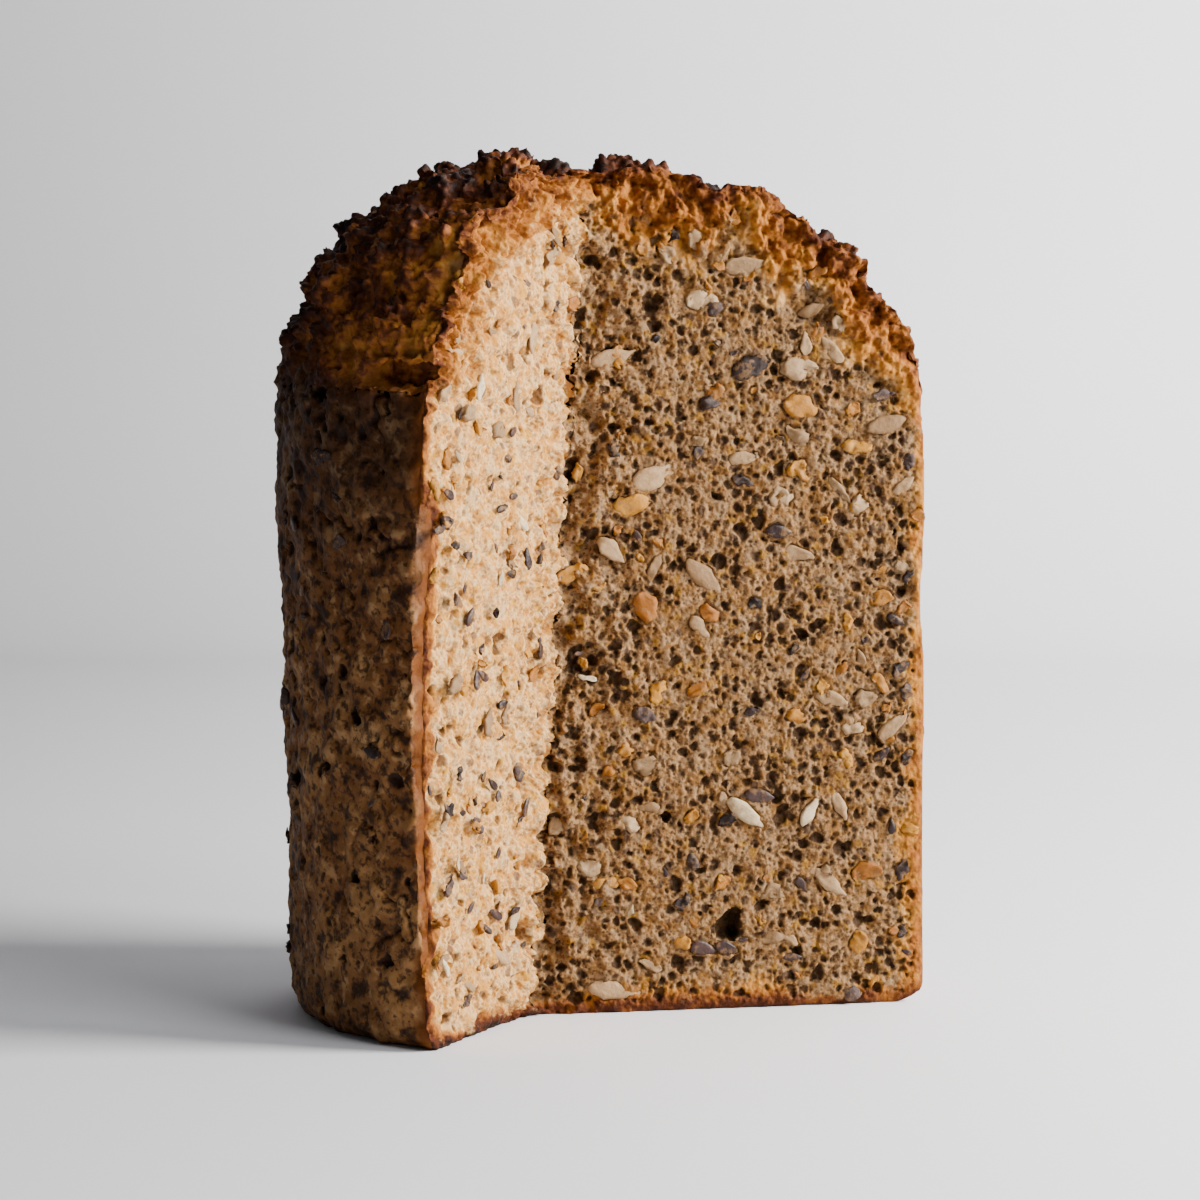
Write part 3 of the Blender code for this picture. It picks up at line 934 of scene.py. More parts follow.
@dataclass
class Loaf:
    """The loaf's own surface: copied from the solid, refined, given relief, and parted.

    The layers of relief are the crown's, the wall's, the crumb's, and those of the grainy band
    that the cut faces show below the crown.
    """

    plan: CutPlan
    voxel: float = 1.0 * MM
    tear_reach: float = 0.020
    crown_low: float = 0.100
    crown_full: float = 0.124
    band_depth: float = 0.017
    halving_height: float = 0.072
    crust_thick: float = 3.5 * MM
    crown_thick: float = 6.5 * MM
    base_thick: float = 0.9 * MM
    torn_slack: float = 2.4 * MM
    cut_slack: float = 1.3 * MM
    cut_facing: float = 0.45
    clods: Layer = Layer(0.0062, 0.0024)
    crumbs: Layer = Layer(0.0029, 0.0014)
    crests: Layer = Layer(0.0070, 0.0013, 0.5)
    grains: Layer = Layer(0.0016, 0.0011, 0.7)
    crown_rise: float = 0.0045
    crown_sunk: float = 0.0038
    folds: Layer = Layer(0.0100, 0.0030, 0.62)
    creases: Layer = Layer(0.0180, 0.0011, 0.5)
    scuffs: Layer = Layer(0.0022, 0.0009, 0.62)
    knobs: Layer = Layer(0.0034, 0.0007, 0.8)
    ragged: Layer = Layer(0.0050, 0.0105, 0.5)
    roughness: Layer = Layer(0.0011, 0.0010, 0.5)
    waves: Layer = Layer(0.0048, 0.0018, 0.5)
    near_crumbs: Layer = Layer(0.0030, 0.0013, 0.6)
    band_lumps: Layer = Layer(0.0046, 0.0038, 0.62)
    band_crumbs: Layer = Layer(0.0023, 0.0020, 0.66)
    band_grains: Layer = Layer(0.0015, 0.0012, 0.7)
    seeds: list[bpy.types.Object] = field(default_factory=list)
    pieces: dict[Region, bpy.types.Object] = field(default_factory=dict)

    def copy_solid(self) -> bpy.types.Object:
        """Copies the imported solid, merges its loose triangles, and refines it evenly.

        Returns:
            The refined copy.
        """
        take_up(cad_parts[NODE])
        bpy.ops.object.duplicate()
        dough = bpy.context.object
        dough.name = "dough"
        bpy.ops.object.mode_set(mode="EDIT")
        bpy.ops.mesh.select_all(action="SELECT")
        bpy.ops.mesh.remove_doubles(threshold=0.00001)
        bpy.ops.mesh.normals_make_consistent(inside=False)
        bpy.ops.object.mode_set(mode="OBJECT")
        even = dough.modifiers.new("even", "REMESH")
        even.mode = "VOXEL"
        even.voxel_size = self.voxel
        smooth = dough.modifiers.new("smooth", "SUBSURF")
        smooth.levels = smooth.render_levels = 1
        finish_modifiers(dough)
        return dough

    def mark(self, dough: bpy.types.Object) -> None:
        """Stores on each point which part of the surface it is on, and how far it is from others.

        Args:
            dough: the refined copy.
        """
        mesh = dough.data
        count = len(mesh.vertices)
        spots = np.empty(count * 3)
        mesh.vertices.foreach_get("co", spots)
        spots = spots.reshape(-1, 3)
        ways = np.empty(count * 3)
        mesh.vertex_normals.foreach_get("vector", ways)
        ways = ways.reshape(-1, 3)
        plan = self.plan
        before = {r: plan.before(spots, r) for r in (Region.REAR_CRUMB, Region.NEAR_CRUMB)}
        faced = {r: ways[:, :2] @ plan.outward(r) for r in before}
        reach = np.linalg.norm(spots[:, :2], axis=1)
        dome = np.sqrt(np.clip(1.0 - (reach / plan.loaf_radius) ** 2, 0.0, None))
        top = plan.shoulder + (plan.crown - plan.shoulder) * dome
        inner = (reach < plan.loaf_radius - self.crust_thick) & (spots[:, 2] > self.base_thick)
        inner &= spots[:, 2] < top - self.crown_thick
        region = np.full(count, Region.WALL.value)
        region[spots[:, 2] > 0.5 * (self.crown_low + self.crown_full)] = Region.CROWN.value
        region[(spots[:, 2] < 0.4 * MM) & (ways[:, 2] < -0.7)] = Region.BASE.value
        from_apex = np.linalg.norm(plan.lean_back(spots) - np.array(plan.apex), axis=1)
        slack = np.where(from_apex < self.tear_reach, self.torn_slack, self.cut_slack)
        rear_closer = np.abs(before[Region.REAR_CRUMB]) < np.abs(before[Region.NEAR_CRUMB])
        for part, closer in ((Region.REAR_CRUMB, rear_closer), (Region.NEAR_CRUMB, ~rear_closer)):
            flat = (faced[part] > self.cut_facing) & (np.abs(before[part]) < slack)
            region[closer & (flat | inner)] = part.value
        cut = region <= Region.NEAR_CRUMB.value
        ahead = np.zeros((count, 3))
        for part in before:
            ahead[region == part.value, :2] = plan.outward(part)
        self.store(mesh, "region", region.astype(float))
        self.store(mesh, "cut", cut.astype(float))
        self.store(mesh, "pit", np.zeros(count))
        self.store(mesh, "crag", np.zeros(count))
        rise = (spots[:, 2] - self.crown_low) / (self.crown_full - self.crown_low)
        steep = np.clip(rise, 0.0, 1.0)
        self.store(mesh, "high", steep * steep * (3.0 - 2.0 * steep))
        flat_up = np.clip((ways[:, 2] - 0.35) / 0.5, 0.0, 1.0) * (spots[:, 2] > self.crown_full)
        self.store(mesh, "top", flat_up)
        near_apex = np.clip(1.0 - from_apex / self.tear_reach, 0.0, 1.0)
        self.store(mesh, "tear", near_apex * cut)
        faces = mesh.attributes.new("ahead", "FLOAT_VECTOR", "POINT")
        faces.data.foreach_set("vector", ahead.ravel())

    @staticmethod
    def store(mesh: bpy.types.Mesh, name: str, values: np.ndarray) -> None:
        """Stores one number a point on a mesh."""
        mesh.attributes.new(name, "FLOAT", "POINT").data.foreach_set("value", values)

    def measure(self) -> bpy.types.NodeTree:
        """The tree that stores each point's distance to the crust and to the cut.

        Returns:
            The geometry tree.
        """
        bench = ReliefBench("measure")
        for name, keep_cut in (("to_crust", 0.0), ("to_cut", 1.0)):
            chosen = bench.add(
                "FunctionNodeCompare",
                {0: bench.read("cut"), 1: keep_cut, "Epsilon": 0.1},
                data_type="FLOAT",
                operation="EQUAL",
            ).outputs[0]
            part = bench.add(
                "GeometryNodeSeparateGeometry", {"Geometry": bench.mesh, "Selection": chosen}
            )
            near = bench.add("GeometryNodeProximity", {0: part.outputs[0]}, target_element="FACES")
            bench.store(name, near.outputs["Distance"])
        return bench.close()

    def coarse(self) -> bpy.types.NodeTree:
        """The tree that raises clods and folds and tears the crumb, before the surface is parted.

        Returns:
            The geometry tree.
        """
        bench = ReliefBench("coarse")
        facing = self.facing(bench)
        normal = bench.add("GeometryNodeInputNormal").outputs[0]
        cut = bench.read("cut")
        crust = bench.minus(1.0, cut)
        high = bench.read("high")
        spot = bench.stir(bench.spot, 0.0045, 2.0, 0.0035)
        crest = bench.minus(bench.noise(spot, self.crests.size, 3.0), self.crests.sunk)
        crest = bench.span(bench.math("ABSOLUTE", crest), 0.10, 0.0)
        total = bench.plus(bench.lumpy(self.clods, spot), bench.lumpy(self.crumbs, spot))
        total = bench.plus(total, bench.times(crest, self.crests.rise))
        crown = bench.times(crust, high)
        bench.store("crag", bench.times(bench.math("DIVIDE", total, self.crown_rise), crown))
        bench.push(normal, bench.times(bench.minus(total, self.crown_sunk), crown))
        wall = bench.times(crust, bench.minus(1.0, high))
        lifted = bench.span(bench.axis(bench.spot, 2), 0.0, 0.004)
        wall = bench.times(wall, lifted)
        bench.push(normal, bench.times(bench.uneven(self.folds, 4.0, 0.6), wall))
        tear = bench.span(bench.read("tear"), 0.05, 0.9)
        ragged = bench.noise(bench.spot, self.ragged.size, 3.0, 0.6)
        ragged = bench.minus(ragged, self.ragged.sunk)
        bench.push(facing, bench.times(ragged, bench.times(tear, self.ragged.rise)))
        lumps = bench.lumpy(self.band_lumps, spot)
        grained = bench.plus(lumps, bench.lumpy(self.band_crumbs, spot))
        bench.push(facing, bench.times(grained, self.band(bench)))
        return bench.close()

    @staticmethod
    def facing(bench: ReliefBench) -> Socket:
        """The way the cut face looks at each of its points."""
        ahead = bench.add("GeometryNodeInputNamedAttribute", data_type="FLOAT_VECTOR")
        ahead.inputs["Name"].default_value = "ahead"
        return ahead.outputs[0]

    def band(self, bench: ReliefBench) -> Socket:
        """Where the cut faces show the crown's grainy inside."""
        near = bench.span(bench.read("to_crust"), self.band_depth, 0.4 * self.band_depth)
        return bench.times(bench.times(near, bench.read("high")), bench.read("cut"))

    def crown_detail(self) -> bpy.types.NodeTree:
        """The tree that grains the crown.

        Returns:
            The geometry tree.
        """
        bench = ReliefBench("crown_detail")
        normal = bench.add("GeometryNodeInputNormal").outputs[0]
        share = bench.times(bench.span(bench.read("to_cut"), 0.0, 0.0012), bench.read("high"))
        grains = bench.minus(bench.lumps(bench.spot, self.grains.size), self.grains.sunk)
        bench.store("crag", bench.plus(bench.read("crag"), bench.times(grains, 0.25)))
        bench.push(normal, bench.times(bench.times(grains, self.grains.rise), share))
        return bench.close()

    def wall_detail(self) -> bpy.types.NodeTree:
        """The tree that creases, roughens and pits the wall.

        Returns:
            The geometry tree.
        """
        bench = ReliefBench("wall_detail")
        normal = bench.add("GeometryNodeInputNormal").outputs[0]
        height = bench.axis(bench.spot, 2)
        inner = bench.span(bench.read("to_cut"), 0.0, 0.0015)
        lifted = bench.times(bench.span(height, 0.0, 0.004), inner)
        crease = bench.noise(bench.spot, self.creases.size, 3.0, 0.55)
        crease = bench.minus(crease, self.creases.sunk)
        crease = bench.span(bench.math("ABSOLUTE", crease), 0.016, 0.0)
        rare = bench.span(bench.noise(bench.spot, 0.030, 1.0), 0.50, 0.58)
        crease = bench.times(bench.times(crease, rare), lifted)
        # The crease's depth is kept as pit, which the crust's material paints as shade.
        bench.store("pit", bench.times(crease, 0.0005))
        total = bench.plus(bench.uneven(self.scuffs, 3.0, 0.6), bench.lumpy(self.knobs))
        total = bench.minus(total, bench.times(crease, self.creases.rise))
        bench.push(normal, bench.times(total, lifted))
        for bubbles in WALL_PITS:
            bench.pit(normal, bubbles, lifted, 1.5)
        return bench.close()

    def crumb_detail(self, region: Region) -> bpy.types.NodeTree:
        """The tree that roughens a cut face and opens its pores.

        Args:
            region: which cut face.

        Returns:
            The geometry tree.
        """
        bench = ReliefBench(f"{region.name.lower()}_detail")
        rear = region is Region.REAR_CRUMB
        facing = self.facing(bench)
        deep = bench.read("to_crust")
        inner = bench.span(deep, 0.0, 0.0010)
        grained = bench.times(bench.lumpy(self.band_grains), self.band(bench))
        total = bench.plus(grained, bench.uneven(self.roughness, 3.0, 0.65))
        total = bench.plus(total, bench.uneven(self.waves, 2.0))
        if not rear:
            total = bench.plus(total, bench.lumpy(self.near_crumbs))
        bench.push(facing, bench.times(total, inner))
        share = self.sockets(bench, facing, 0.00050 if rear else 0.00020)
        band = bench.times(self.band(bench), 0.5)
        share = bench.times(share, bench.minus(1.0, band))
        share = bench.times(share, bench.span(deep, 0.0008, 0.0026))
        run = Vector((*self.plan.run(region), 0.0))
        across = bench.vector("DOT_PRODUCT", bench.spot, run)
        height = bench.axis(bench.spot, 2)
        flat = bench.add("ShaderNodeCombineXYZ", {0: across, 1: height}).outputs[0]
        airy = bench.span(bench.noise(flat, 0.009, 2.0), 0.34, 0.66, 0.72, 1.22)
        share = bench.times(share, airy)
        bench.pit(facing, CAVES[region], share, 2.4 if rear else 1.8)
        for bubbles in PORES[region]:
            bench.pores(flat, facing, bubbles, share)
        return bench.close()

    def sockets(self, bench: ReliefBench, facing: Socket, sink: float) -> Socket:
        """Sinks the crumb round every seed, as if the seed had come a little loose.

        Args:
            bench: the tree's bench.
            facing: the way the cut face looks.
            sink: how deep, in metres.

        Returns:
            A share that is 0 at the seeds and 1 away from them.
        """
        nearest = 1.0
        for piece in self.seeds:
            made = bench.add("GeometryNodeObjectInfo", {"Object": piece}).outputs["Geometry"]
            far = bench.add("GeometryNodeProximity", {0: made}, target_element="FACES")
            nearest = bench.math("MINIMUM", far.outputs["Distance"], nearest)
        loose = bench.span(bench.noise(bench.spot, 0.003), 0.42, 0.58)
        loose = bench.span(loose, 0.0, 1.0, 0.2, 1.0)
        gap = bench.times(bench.span(nearest, 0.0006, 0.0001), loose)
        sunk = bench.times(gap, sink)
        # The gap's depth is kept with the pits, so the crumb's material darkens it as painted
        # shade.
        bench.store("pit", bench.plus(bench.read("pit"), bench.times(sunk, 0.6)))
        bench.push(facing, bench.times(sunk, -1.0))
        return bench.span(nearest, 0.0, 0.0007)

    def part(self, dough: bpy.types.Object, finishes: dict[Region, bpy.types.Material]) -> None:
        """Parts the surface into its crust and crumb pieces.

        Args:
            dough: the whole surface.
            finishes: each part's material.
        """
        mesh = dough.data
        region = np.empty(len(mesh.vertices))
        mesh.attributes["region"].data.foreach_get("value", region)
        corners = np.empty(len(mesh.loops), dtype=np.int32)
        mesh.loops.foreach_get("vertex_index", corners)
        starts = np.empty(len(mesh.polygons), dtype=np.int32)
        mesh.polygons.foreach_get("loop_start", starts)
        lowest = np.minimum.reduceat(region[corners], starts).astype(np.int32)
        mesh.materials.clear()
        for part in Region:
            mesh.materials.append(finishes[part])
        mesh.polygons.foreach_set("material_index", lowest)
        take_up(dough)
        bpy.ops.object.mode_set(mode="EDIT")
        bpy.ops.mesh.select_all(action="SELECT")
        bpy.ops.mesh.separate(type="MATERIAL")
        bpy.ops.object.mode_set(mode="OBJECT")
        for piece in list(bpy.context.selected_objects):
            numbers = np.empty(len(piece.data.vertices))
            piece.data.attributes["region"].data.foreach_get("value", numbers)
            part = Region(int(numbers.min()))
            piece.name = part.name.lower()
            self.pieces[part] = piece

    def detail(self, part: Region) -> None:
        """Gives one piece its fine relief and brings it under its share of triangles.

        Args:
            part: which piece.
        """
        piece = self.pieces[part]
        if part in (Region.REAR_CRUMB, Region.NEAR_CRUMB):
            finer = piece.modifiers.new("finer", "SUBSURF")
            finer.subdivision_type = "SIMPLE"
            finer.levels = finer.render_levels = 1
            step = piece.modifiers.new("detail", "NODES")
            step.node_group = self.crumb_detail(part)
        elif part is not Region.BASE:
            step = piece.modifiers.new("detail", "NODES")
            crown = part is Region.CROWN
            step.node_group = self.crown_detail() if crown else self.wall_detail()
        finish_modifiers(piece)
        count = triangles(piece)
        limit = LIMITS.get(part, count)
        if count > limit:
            fewer = piece.modifiers.new("fewer", "DECIMATE")
            fewer.ratio = limit / count
            finish_modifiers(piece)
        keep_in_box(piece)
        for share in self.halves(piece) if part is Region.REAR_CRUMB else [piece]:
            take_up(share)
            bpy.ops.object.shade_smooth()
            hand_in(share)

    def halves(self, piece: bpy.types.Object) -> list[bpy.types.Object]:
        """Parts a piece with too many triangles into an upper and a lower one.

        Args:
            piece: the piece.

        Returns:
            The two pieces.
        """
        chosen = [face.center.z > self.halving_height for face in piece.data.polygons]
        take_up(piece)
        bpy.ops.object.mode_set(mode="EDIT")
        bpy.ops.mesh.select_mode(type="FACE")
        bpy.ops.mesh.select_all(action="DESELECT")
        bpy.ops.object.mode_set(mode="OBJECT")
        piece.data.polygons.foreach_set("select", chosen)
        bpy.ops.object.mode_set(mode="EDIT")
        bpy.ops.mesh.separate(type="SELECTED")
        bpy.ops.object.mode_set(mode="OBJECT")
        upper = next(o for o in bpy.context.selected_objects if o != piece)
        upper.name = f"{piece.name}_upper"
        return [piece, upper]

    def build(self, finishes: dict[Region, bpy.types.Material]) -> None:
        """Builds all pieces of the loaf's surface.

        Args:
            finishes: each part's material.
        """
        dough = self.copy_solid()
        LOG.info("refined copy: %d triangles", triangles(dough))
        self.seeds = [kind.build() for kind in seed_sets(self.plan)]
        self.mark(dough)
        for tree in (self.measure(), self.coarse()):
            step = dough.modifiers.new(tree.name, "NODES")
            step.node_group = tree
            finish_modifiers(dough)
            LOG.info("%s done", tree.name)
        self.part(dough, finishes)
        LOG.info("parted")
        for part in Region:
            self.detail(part)


@dataclass(frozen=True)
class Bared:
    """One seed that shows: where it is, its turn in radians, and its length in metres.

    On the wall, along is an angle about the loaf's axis, in radians.
    """

    region: Region
    along: float
    height: float
    turn: float
    length: float


@dataclass(frozen=True)
class Sprinkle:
    """How many small seeds lie at random in one part of the surface, and how long they are."""

    region: Region
    count: int
    least: float
    most: float


@dataclass
class SeedSet:
    """All the seeds of one kind, laid in the loaf's surface and joined into one piece.

    The size is a seed's length, width and thickness. The ruffle is how far noise moves its skin,
    proud is how far it stands out of the crumb, and shaved is the height, as a share of its
    thickness above its middle, at which the knife has cut it flat.
    """

    kind: SeedKind
    plan: CutPlan
    finish: SeedFinish
    size: tuple[float, float, float]
    taper: float
    ruffle: float
    proud: float
    seed: int
    sprinkled: tuple[Sprinkle, ...]
    shaved: float = 0.24

    def model(self) -> bpy.types.Object:
        """Models one seed at the origin, lying flat along X.

        Returns:
            The seed.
        """
        deselect_all()
        bpy.ops.mesh.primitive_uv_sphere_add(segments=14, ring_count=10, radius=0.5)
        seed = bpy.context.object
        seed.rotation_euler = (0.0, math.radians(90.0), 0.0)
        bpy.ops.object.transform_apply(location=False, rotation=True, scale=False)
        for vertex in seed.data.vertices:
            slim = 1.0 - self.taper * (vertex.co.x + 0.5) ** 2
            vertex.co.y *= slim
            vertex.co.z = min(vertex.co.z * slim, self.shaved)
        bpy.ops.object.mode_set(mode="EDIT")
        bpy.ops.mesh.select_all(action="SELECT")
        bpy.ops.transform.resize(value=self.size, center_override=(0.0, 0.0, 0.0))
        bpy.ops.object.mode_set(mode="OBJECT")
        return seed

    def spots(self, draw: random.Random) -> list[Bared]:
        """Where the seeds lie: first those that show best, then the sprinkled ones.

        Args:
            draw: the source of random numbers.

        Returns:
            The places.
        """
        found = [
            Bared(region, along * MM, height * MM, math.radians(turn), length * MM)
            for region in Region
            for along, height, turn, length in SHOWN.get((region, self.kind), ())
        ]
        for some in self.sprinkled:
            for _ in range(some.count):
                along = draw.uniform(*self.plan.span(some.region))
                height = draw.uniform(4.0 * MM, self.plan.top(some.region, along))
                turn = draw.uniform(0.0, math.pi)
                length = draw.uniform(some.least, some.most)
                found.append(Bared(some.region, along, height, turn, length))
        return found

    def build(self) -> bpy.types.Object:
        """Copies the seed to each of its places and joins the copies.

        Returns:
            The joined piece.
        """
        draw = random.Random(self.seed)
        model = self.model()
        copies = []
        for spot in self.spots(draw):
            twin = model.copy()
            twin.data = model.data.copy()
            bpy.context.scene.collection.objects.link(twin)
            grown = spot.length / self.size[0]
            sink = (self.proud - self.shaved * self.size[2]) * grown
            tip = Matrix.Rotation(draw.uniform(-0.25, 0.25), 4, "X")
            roll = Matrix.Rotation(draw.uniform(-0.15, 0.15), 4, "Y")
            size = Matrix.Diagonal([grown * draw.uniform(0.85, 1.12) for _ in range(3)] + [1.0])
            place = self.plan.place(spot.region, spot.along, spot.height, spot.turn)
            twin.data.transform(place @ Matrix.Translation((0.0, 0.0, sink)) @ tip @ roll @ size)
            Loaf.store(twin.data, "tint", np.full(len(twin.data.vertices), draw.random()))
            copies.append(twin)
        bpy.data.objects.remove(model)
        deselect_all()
        for twin in copies:
            twin.select_set(True)
        bpy.context.view_layer.objects.active = copies[0]
        bpy.ops.object.join()
        piece = bpy.context.object
        piece.name = self.kind.value
        self.roughen(piece)
        piece.data.materials.clear()
        piece.data.materials.append(self.finish.make())
        keep_in_box(piece)
        bpy.ops.object.shade_smooth()
        hand_in(piece)
        return piece

    def roughen(self, piece: bpy.types.Object) -> None:
        """Makes every seed uneven.

        Args:
            piece: the joined seeds.
        """
        bench = ReliefBench(f"{piece.name}_roughness")
        stir = bench.noise(bench.spot, 0.0018, 3.0, 0.6, key=1)
        bench.push(bench.vector("SUBTRACT", stir, (0.5, 0.5, 0.5)), self.ruffle)
        step = piece.modifiers.new("roughness", "NODES")
        step.node_group = bench.close()
        finish_modifiers(piece)


def seed_sets(plan: CutPlan) -> list[SeedSet]:
    """Every kind of seed in the dough.

    Args:
        plan: where the knife went.

    Returns:
        The sets of seeds, not yet built.
    """
    rear, near, wall = Region.REAR_CRUMB, Region.NEAR_CRUMB, Region.WALL
    kernel = SeedFinish("kernel_flesh", (0.33, 0.205, 0.100), (0.170, 0.092, 0.037))
    white = SeedFinish("white_flesh", (0.56, 0.45, 0.28), (0.33, 0.23, 0.12))
    sliced = SeedFinish("slice_flesh", (0.34, 0.220, 0.112), (0.19, 0.110, 0.048))
    grit = SeedFinish("grit_flesh", (0.37, 0.160, 0.014), (0.22, 0.072, 0.006))
    linseed = SeedFinish(
        "linseed_skin", (0.050, 0.027, 0.023), (0.014, 0.006, 0.005), roughness=0.4
    )
    husk = SeedFinish("husk_skin", (0.055, 0.033, 0.027), (0.010, 0.005, 0.004))
    return [
        SeedSet(
            SeedKind.KERNEL, plan, kernel, (9.5 * MM, 4.4 * MM, 2.4 * MM),
            taper=0.62, ruffle=1.9 * MM, proud=0.32 * MM, seed=3,
            sprinkled=(Sprinkle(rear, 8, 3 * MM, 6 * MM), Sprinkle(near, 12, 3 * MM, 6.5 * MM)),
        ),
        SeedSet(
            SeedKind.WHITE, plan, white, (9.0 * MM, 4.0 * MM, 2.4 * MM),
            taper=0.55, ruffle=1.4 * MM, proud=0.75 * MM, seed=4,
            sprinkled=(Sprinkle(rear, 2, 2 * MM, 3.5 * MM), Sprinkle(near, 6, 2 * MM, 5 * MM)),
        ),
        SeedSet(
            SeedKind.DISC, plan, sliced, (4.6 * MM, 3.5 * MM, 2.2 * MM),
            taper=0.30, ruffle=3.4 * MM, proud=0.30 * MM, seed=5,
            sprinkled=(Sprinkle(rear, 10, 2 * MM, 4.5 * MM), Sprinkle(near, 10, 2.5 * MM, 5 * MM)),
        ),
        SeedSet(
            SeedKind.GRIT, plan, grit, (4.4 * MM, 2.8 * MM, 1.8 * MM),
            taper=0.25, ruffle=3.2 * MM, proud=0.35 * MM, seed=6,
            sprinkled=(
                Sprinkle(rear, 64, 1.2 * MM, 4.0 * MM),
                Sprinkle(near, 40, 1.4 * MM, 3.6 * MM),
            ),
        ),
        SeedSet(
            SeedKind.LINSEED, plan, linseed, (4.8 * MM, 2.5 * MM, 1.5 * MM),
            taper=0.55, ruffle=0.8 * MM, proud=0.40 * MM, seed=7,
            sprinkled=(
                Sprinkle(rear, 10, 1.6 * MM, 3.8 * MM),
                Sprinkle(near, 26, 1.8 * MM, 4.0 * MM),
                Sprinkle(wall, 34, 2.0 * MM, 4.2 * MM),
            ),
        ),
        SeedSet(
            SeedKind.HUSK, plan, husk, (4.0 * MM, 3.0 * MM, 2.0 * MM),
            taper=0.25, ruffle=3.2 * MM, proud=0.35 * MM, seed=8,
            sprinkled=(
                Sprinkle(rear, 20, 1.2 * MM, 3.4 * MM),
                Sprinkle(near, 28, 1.2 * MM, 3.0 * MM),
                Sprinkle(wall, 26, 1.5 * MM, 3.6 * MM),
            ),
        ),
    ]


@dataclass(frozen=True)
class Lamp:
    """One soft square light: where it hangs, what it looks at, its side in metres and its watts."""

    name: str
    spot: Colour
    aim: Colour
    size: float
    power: float
    colour: Colour

    def hang(self) -> None:
        """Hangs the light in the scene."""
        lamp = bpy.data.lights.new(self.name, "AREA")
        lamp.size = self.size
        lamp.energy = self.power
        lamp.color = self.colour
        hung = bpy.data.objects.new(self.name, lamp)
        bpy.context.scene.collection.objects.link(hung)
        hung.location = self.spot
        way = Vector(self.aim) - Vector(self.spot)
        hung.rotation_euler = way.to_track_quat("-Z", "Y").to_euler()


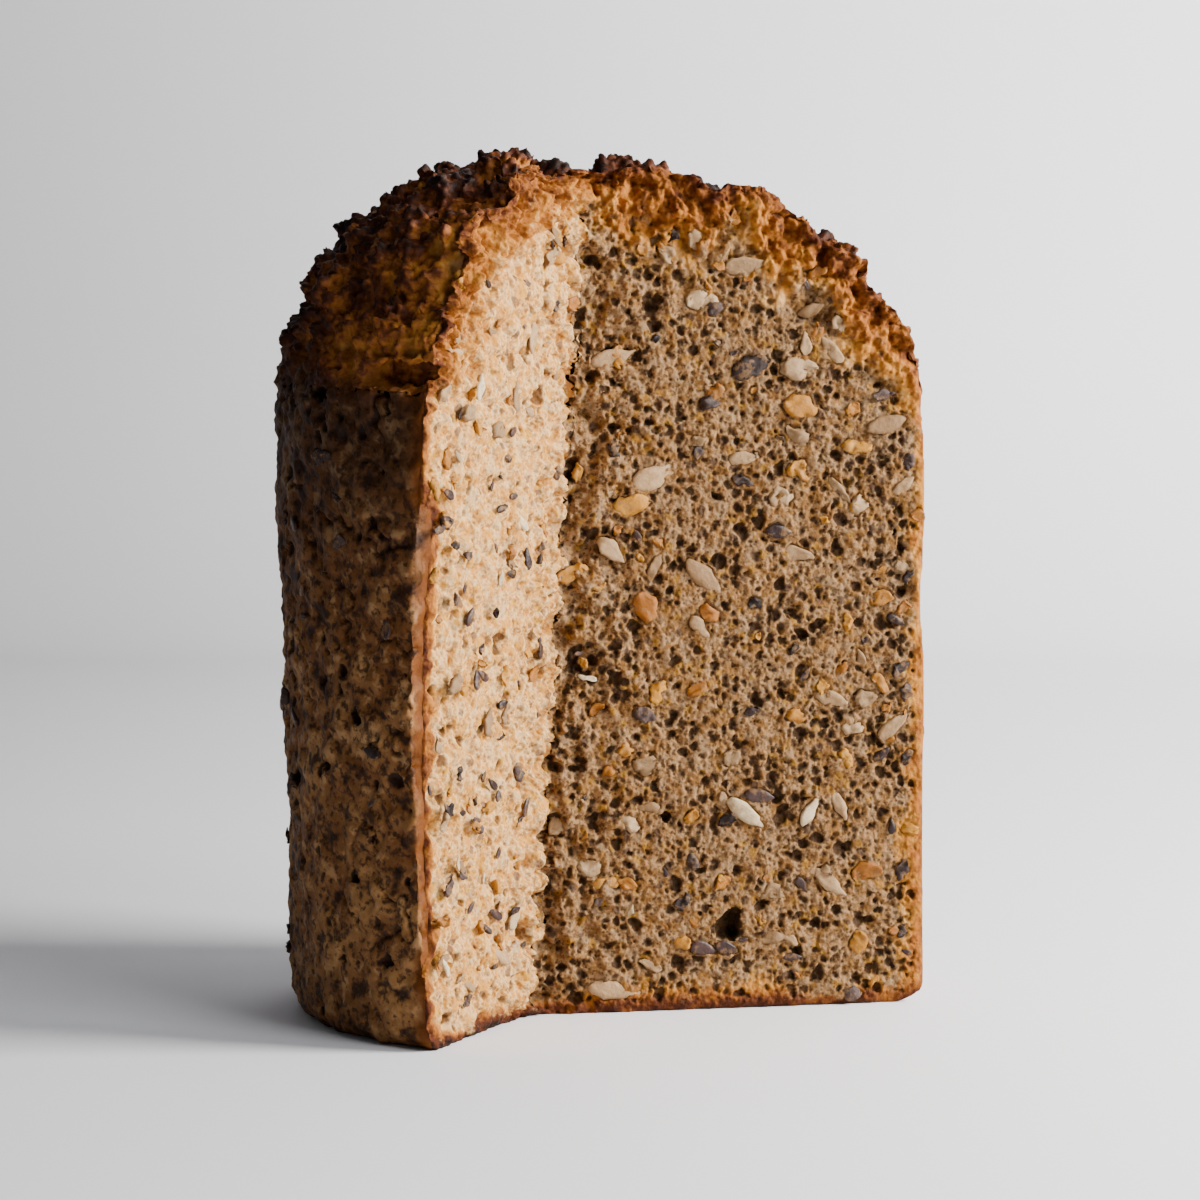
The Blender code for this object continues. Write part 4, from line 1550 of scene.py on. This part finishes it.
@dataclass
class Studio:
    """A pale sweep with painted light and shade across it, soft light from the right, and the
    camera.
    """

    sweep_back: float = 0.60
    sweep_round: float = 0.10
    sweep_wide: float = 3.0
    sweep_front: float = 1.6
    sweep_high: float = 1.8
    paper_painted_shade: Colour = (0.49, 0.49, 0.51)
    paper_painted_light: Colour = (0.97, 0.97, 0.99)
    paper_painted_run: tuple[float, float] = (-0.28, 0.24)
    room_strength: float = 0.10
    lamps: tuple[Lamp, ...] = (
        Lamp("window", (0.80, -0.15, 0.42), (0.0, 0.0, 0.05), 0.36, 30.0, (1.0, 0.975, 0.94)),
        Lamp("front", (0.9, -0.9, 0.9), (0.1, -0.3, 0.0), 0.6, 15.0, (0.95, 0.97, 1.0)),
        Lamp("backdrop", (0.75, 0.30, 0.8), (0.4, 0.66, 0.25), 0.4, 1.8, (0.96, 0.97, 1.0)),
    )
    camera_spot: tuple[float, float, float] = (-0.0015, -0.8, 0.144)
    camera_pitch: float = math.radians(5.1)
    camera_lens: float = 135.5

    def sweep(self) -> None:
        """Models the floor and the wall behind as one curved sheet."""
        deselect_all()
        bpy.ops.mesh.primitive_plane_add(size=1.0)
        sheet = bpy.context.object
        sheet.name = "sweep"
        bpy.ops.object.mode_set(mode="EDIT")
        bpy.ops.mesh.select_all(action="SELECT")
        deep = self.sweep_front + self.sweep_back
        bpy.ops.transform.resize(value=(2.0 * self.sweep_wide, deep, 1.0))
        middle = 0.5 * (self.sweep_back - self.sweep_front)
        bpy.ops.transform.translate(value=(0.0, middle, 0.0))
        bpy.ops.object.mode_set(mode="OBJECT")
        rear_edge = self.sweep_back - 0.01
        for vertex in sheet.data.vertices:
            vertex.select = vertex.co.y > rear_edge
        for edge in sheet.data.edges:
            edge.select = all(sheet.data.vertices[i].co.y > rear_edge for i in edge.vertices)
        for face in sheet.data.polygons:
            face.select = False
        bpy.ops.object.mode_set(mode="EDIT")
        bpy.ops.mesh.select_mode(type="EDGE")
        bpy.ops.mesh.spin(
            steps=24,
            angle=math.radians(-90.0),
            center=(0.0, self.sweep_back, self.sweep_round),
            axis=(1.0, 0.0, 0.0),
        )
        bpy.ops.mesh.extrude_region_move(
            TRANSFORM_OT_translate={"value": (0.0, 0.0, self.sweep_high)}
        )
        bpy.ops.object.mode_set(mode="OBJECT")
        bpy.ops.object.shade_smooth()
        sheet.data.materials.append(self.paper())

    def paper(self) -> bpy.types.Material:
        """The sweep's paper, with painted light and shade: darker on the left and much paler on the
        lit right.

        Returns:
            The material.
        """
        made, bench, at = material_bench("sweep_paper")
        across = bench.axis(at, 0)
        # Painted light and shade: the paper runs from dark on the left to pale on the lit right.
        colour = bench.blend(bench.span(across, *self.paper_painted_run), self.paper_painted_shade, self.paper_painted_light)
        finish_off(bench, colour, bench.noise(at, 0.004, 3.0), 0.00005, 0.85)
        return made

    def build(self) -> None:
        """Sets up the stage, the lights, the world and the camera."""
        self.sweep()
        for lamp in self.lamps:
            lamp.hang()
        world = bpy.data.worlds.new("room")
        world.use_nodes = True
        world.node_tree.nodes["Background"].inputs["Color"].default_value = (0.93, 0.95, 1.0, 1.0)
        world.node_tree.nodes["Background"].inputs["Strength"].default_value = self.room_strength
        bpy.context.scene.world = world
        camera = bpy.data.cameras.new("camera")
        camera.lens = self.camera_lens
        camera.sensor_width = 36.0
        camera.clip_start = 0.05
        held = bpy.data.objects.new("camera", camera)
        held.location = self.camera_spot
        held.rotation_euler = (math.radians(90.0) - self.camera_pitch, 0.0, 0.0)
        bpy.context.scene.collection.objects.link(held)
        bpy.context.scene.camera = held


def loaf_finishes() -> dict[Region, bpy.types.Material]:
    """The material of each part of the loaf's surface.

    Returns:
        The materials, by part.
    """
    # The rear and near faces are one crumb given two sets of colours for how each is lit: the
    # rear's darker colours are painted shade, the near's paler ones painted light.
    rear = CrumbFinish(
        "rear_crumb",
        light=(0.265, 0.143, 0.060),
        body=(0.112, 0.053, 0.017),
        warm=(0.155, 0.066, 0.013),
        cool=(0.200, 0.120, 0.058),
        bran=(0.045, 0.023, 0.013),
        flake=(0.230, 0.105, 0.012),
        pore=(0.017, 0.0062, 0.0011),
        tiny_pore_shade=0.62,
        rim_level=0.54,
        rim_fall=0.20,
        crown_level=0.72,
        crown_band=11.0 * MM,
    )
    near = CrumbFinish(
        "near_crumb",
        light=(0.58, 0.335, 0.125),
        body=(0.36, 0.170, 0.046),
        warm=(0.44, 0.185, 0.028),
        cool=(0.45, 0.290, 0.135),
        bran=(0.120, 0.062, 0.034),
        flake=(0.440, 0.205, 0.022),
        pore=(0.080, 0.027, 0.005),
        tiny_pore_shade=0.45,
        rim_level=0.74,
        rim_fall=0.40,
        crown_level=0.68,
        crown_band=12.0 * MM,
    )
    crust = CrustFinish("crust").make()
    return {
        Region.REAR_CRUMB: rear.make(),
        Region.NEAR_CRUMB: near.make(),
        Region.CROWN: crust,
        Region.WALL: crust,
        Region.BASE: crust,
    }


def main() -> None:
    """Builds the studio, the loaf's surface and its seeds."""
    logging.basicConfig(level=logging.INFO, format="%(relativeCreated)6d ms  %(message)s")
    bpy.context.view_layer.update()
    plan = CutPlan()
    Studio().build()
    Loaf(plan).build(loaf_finishes())


if __name__ == "__main__":
    main()
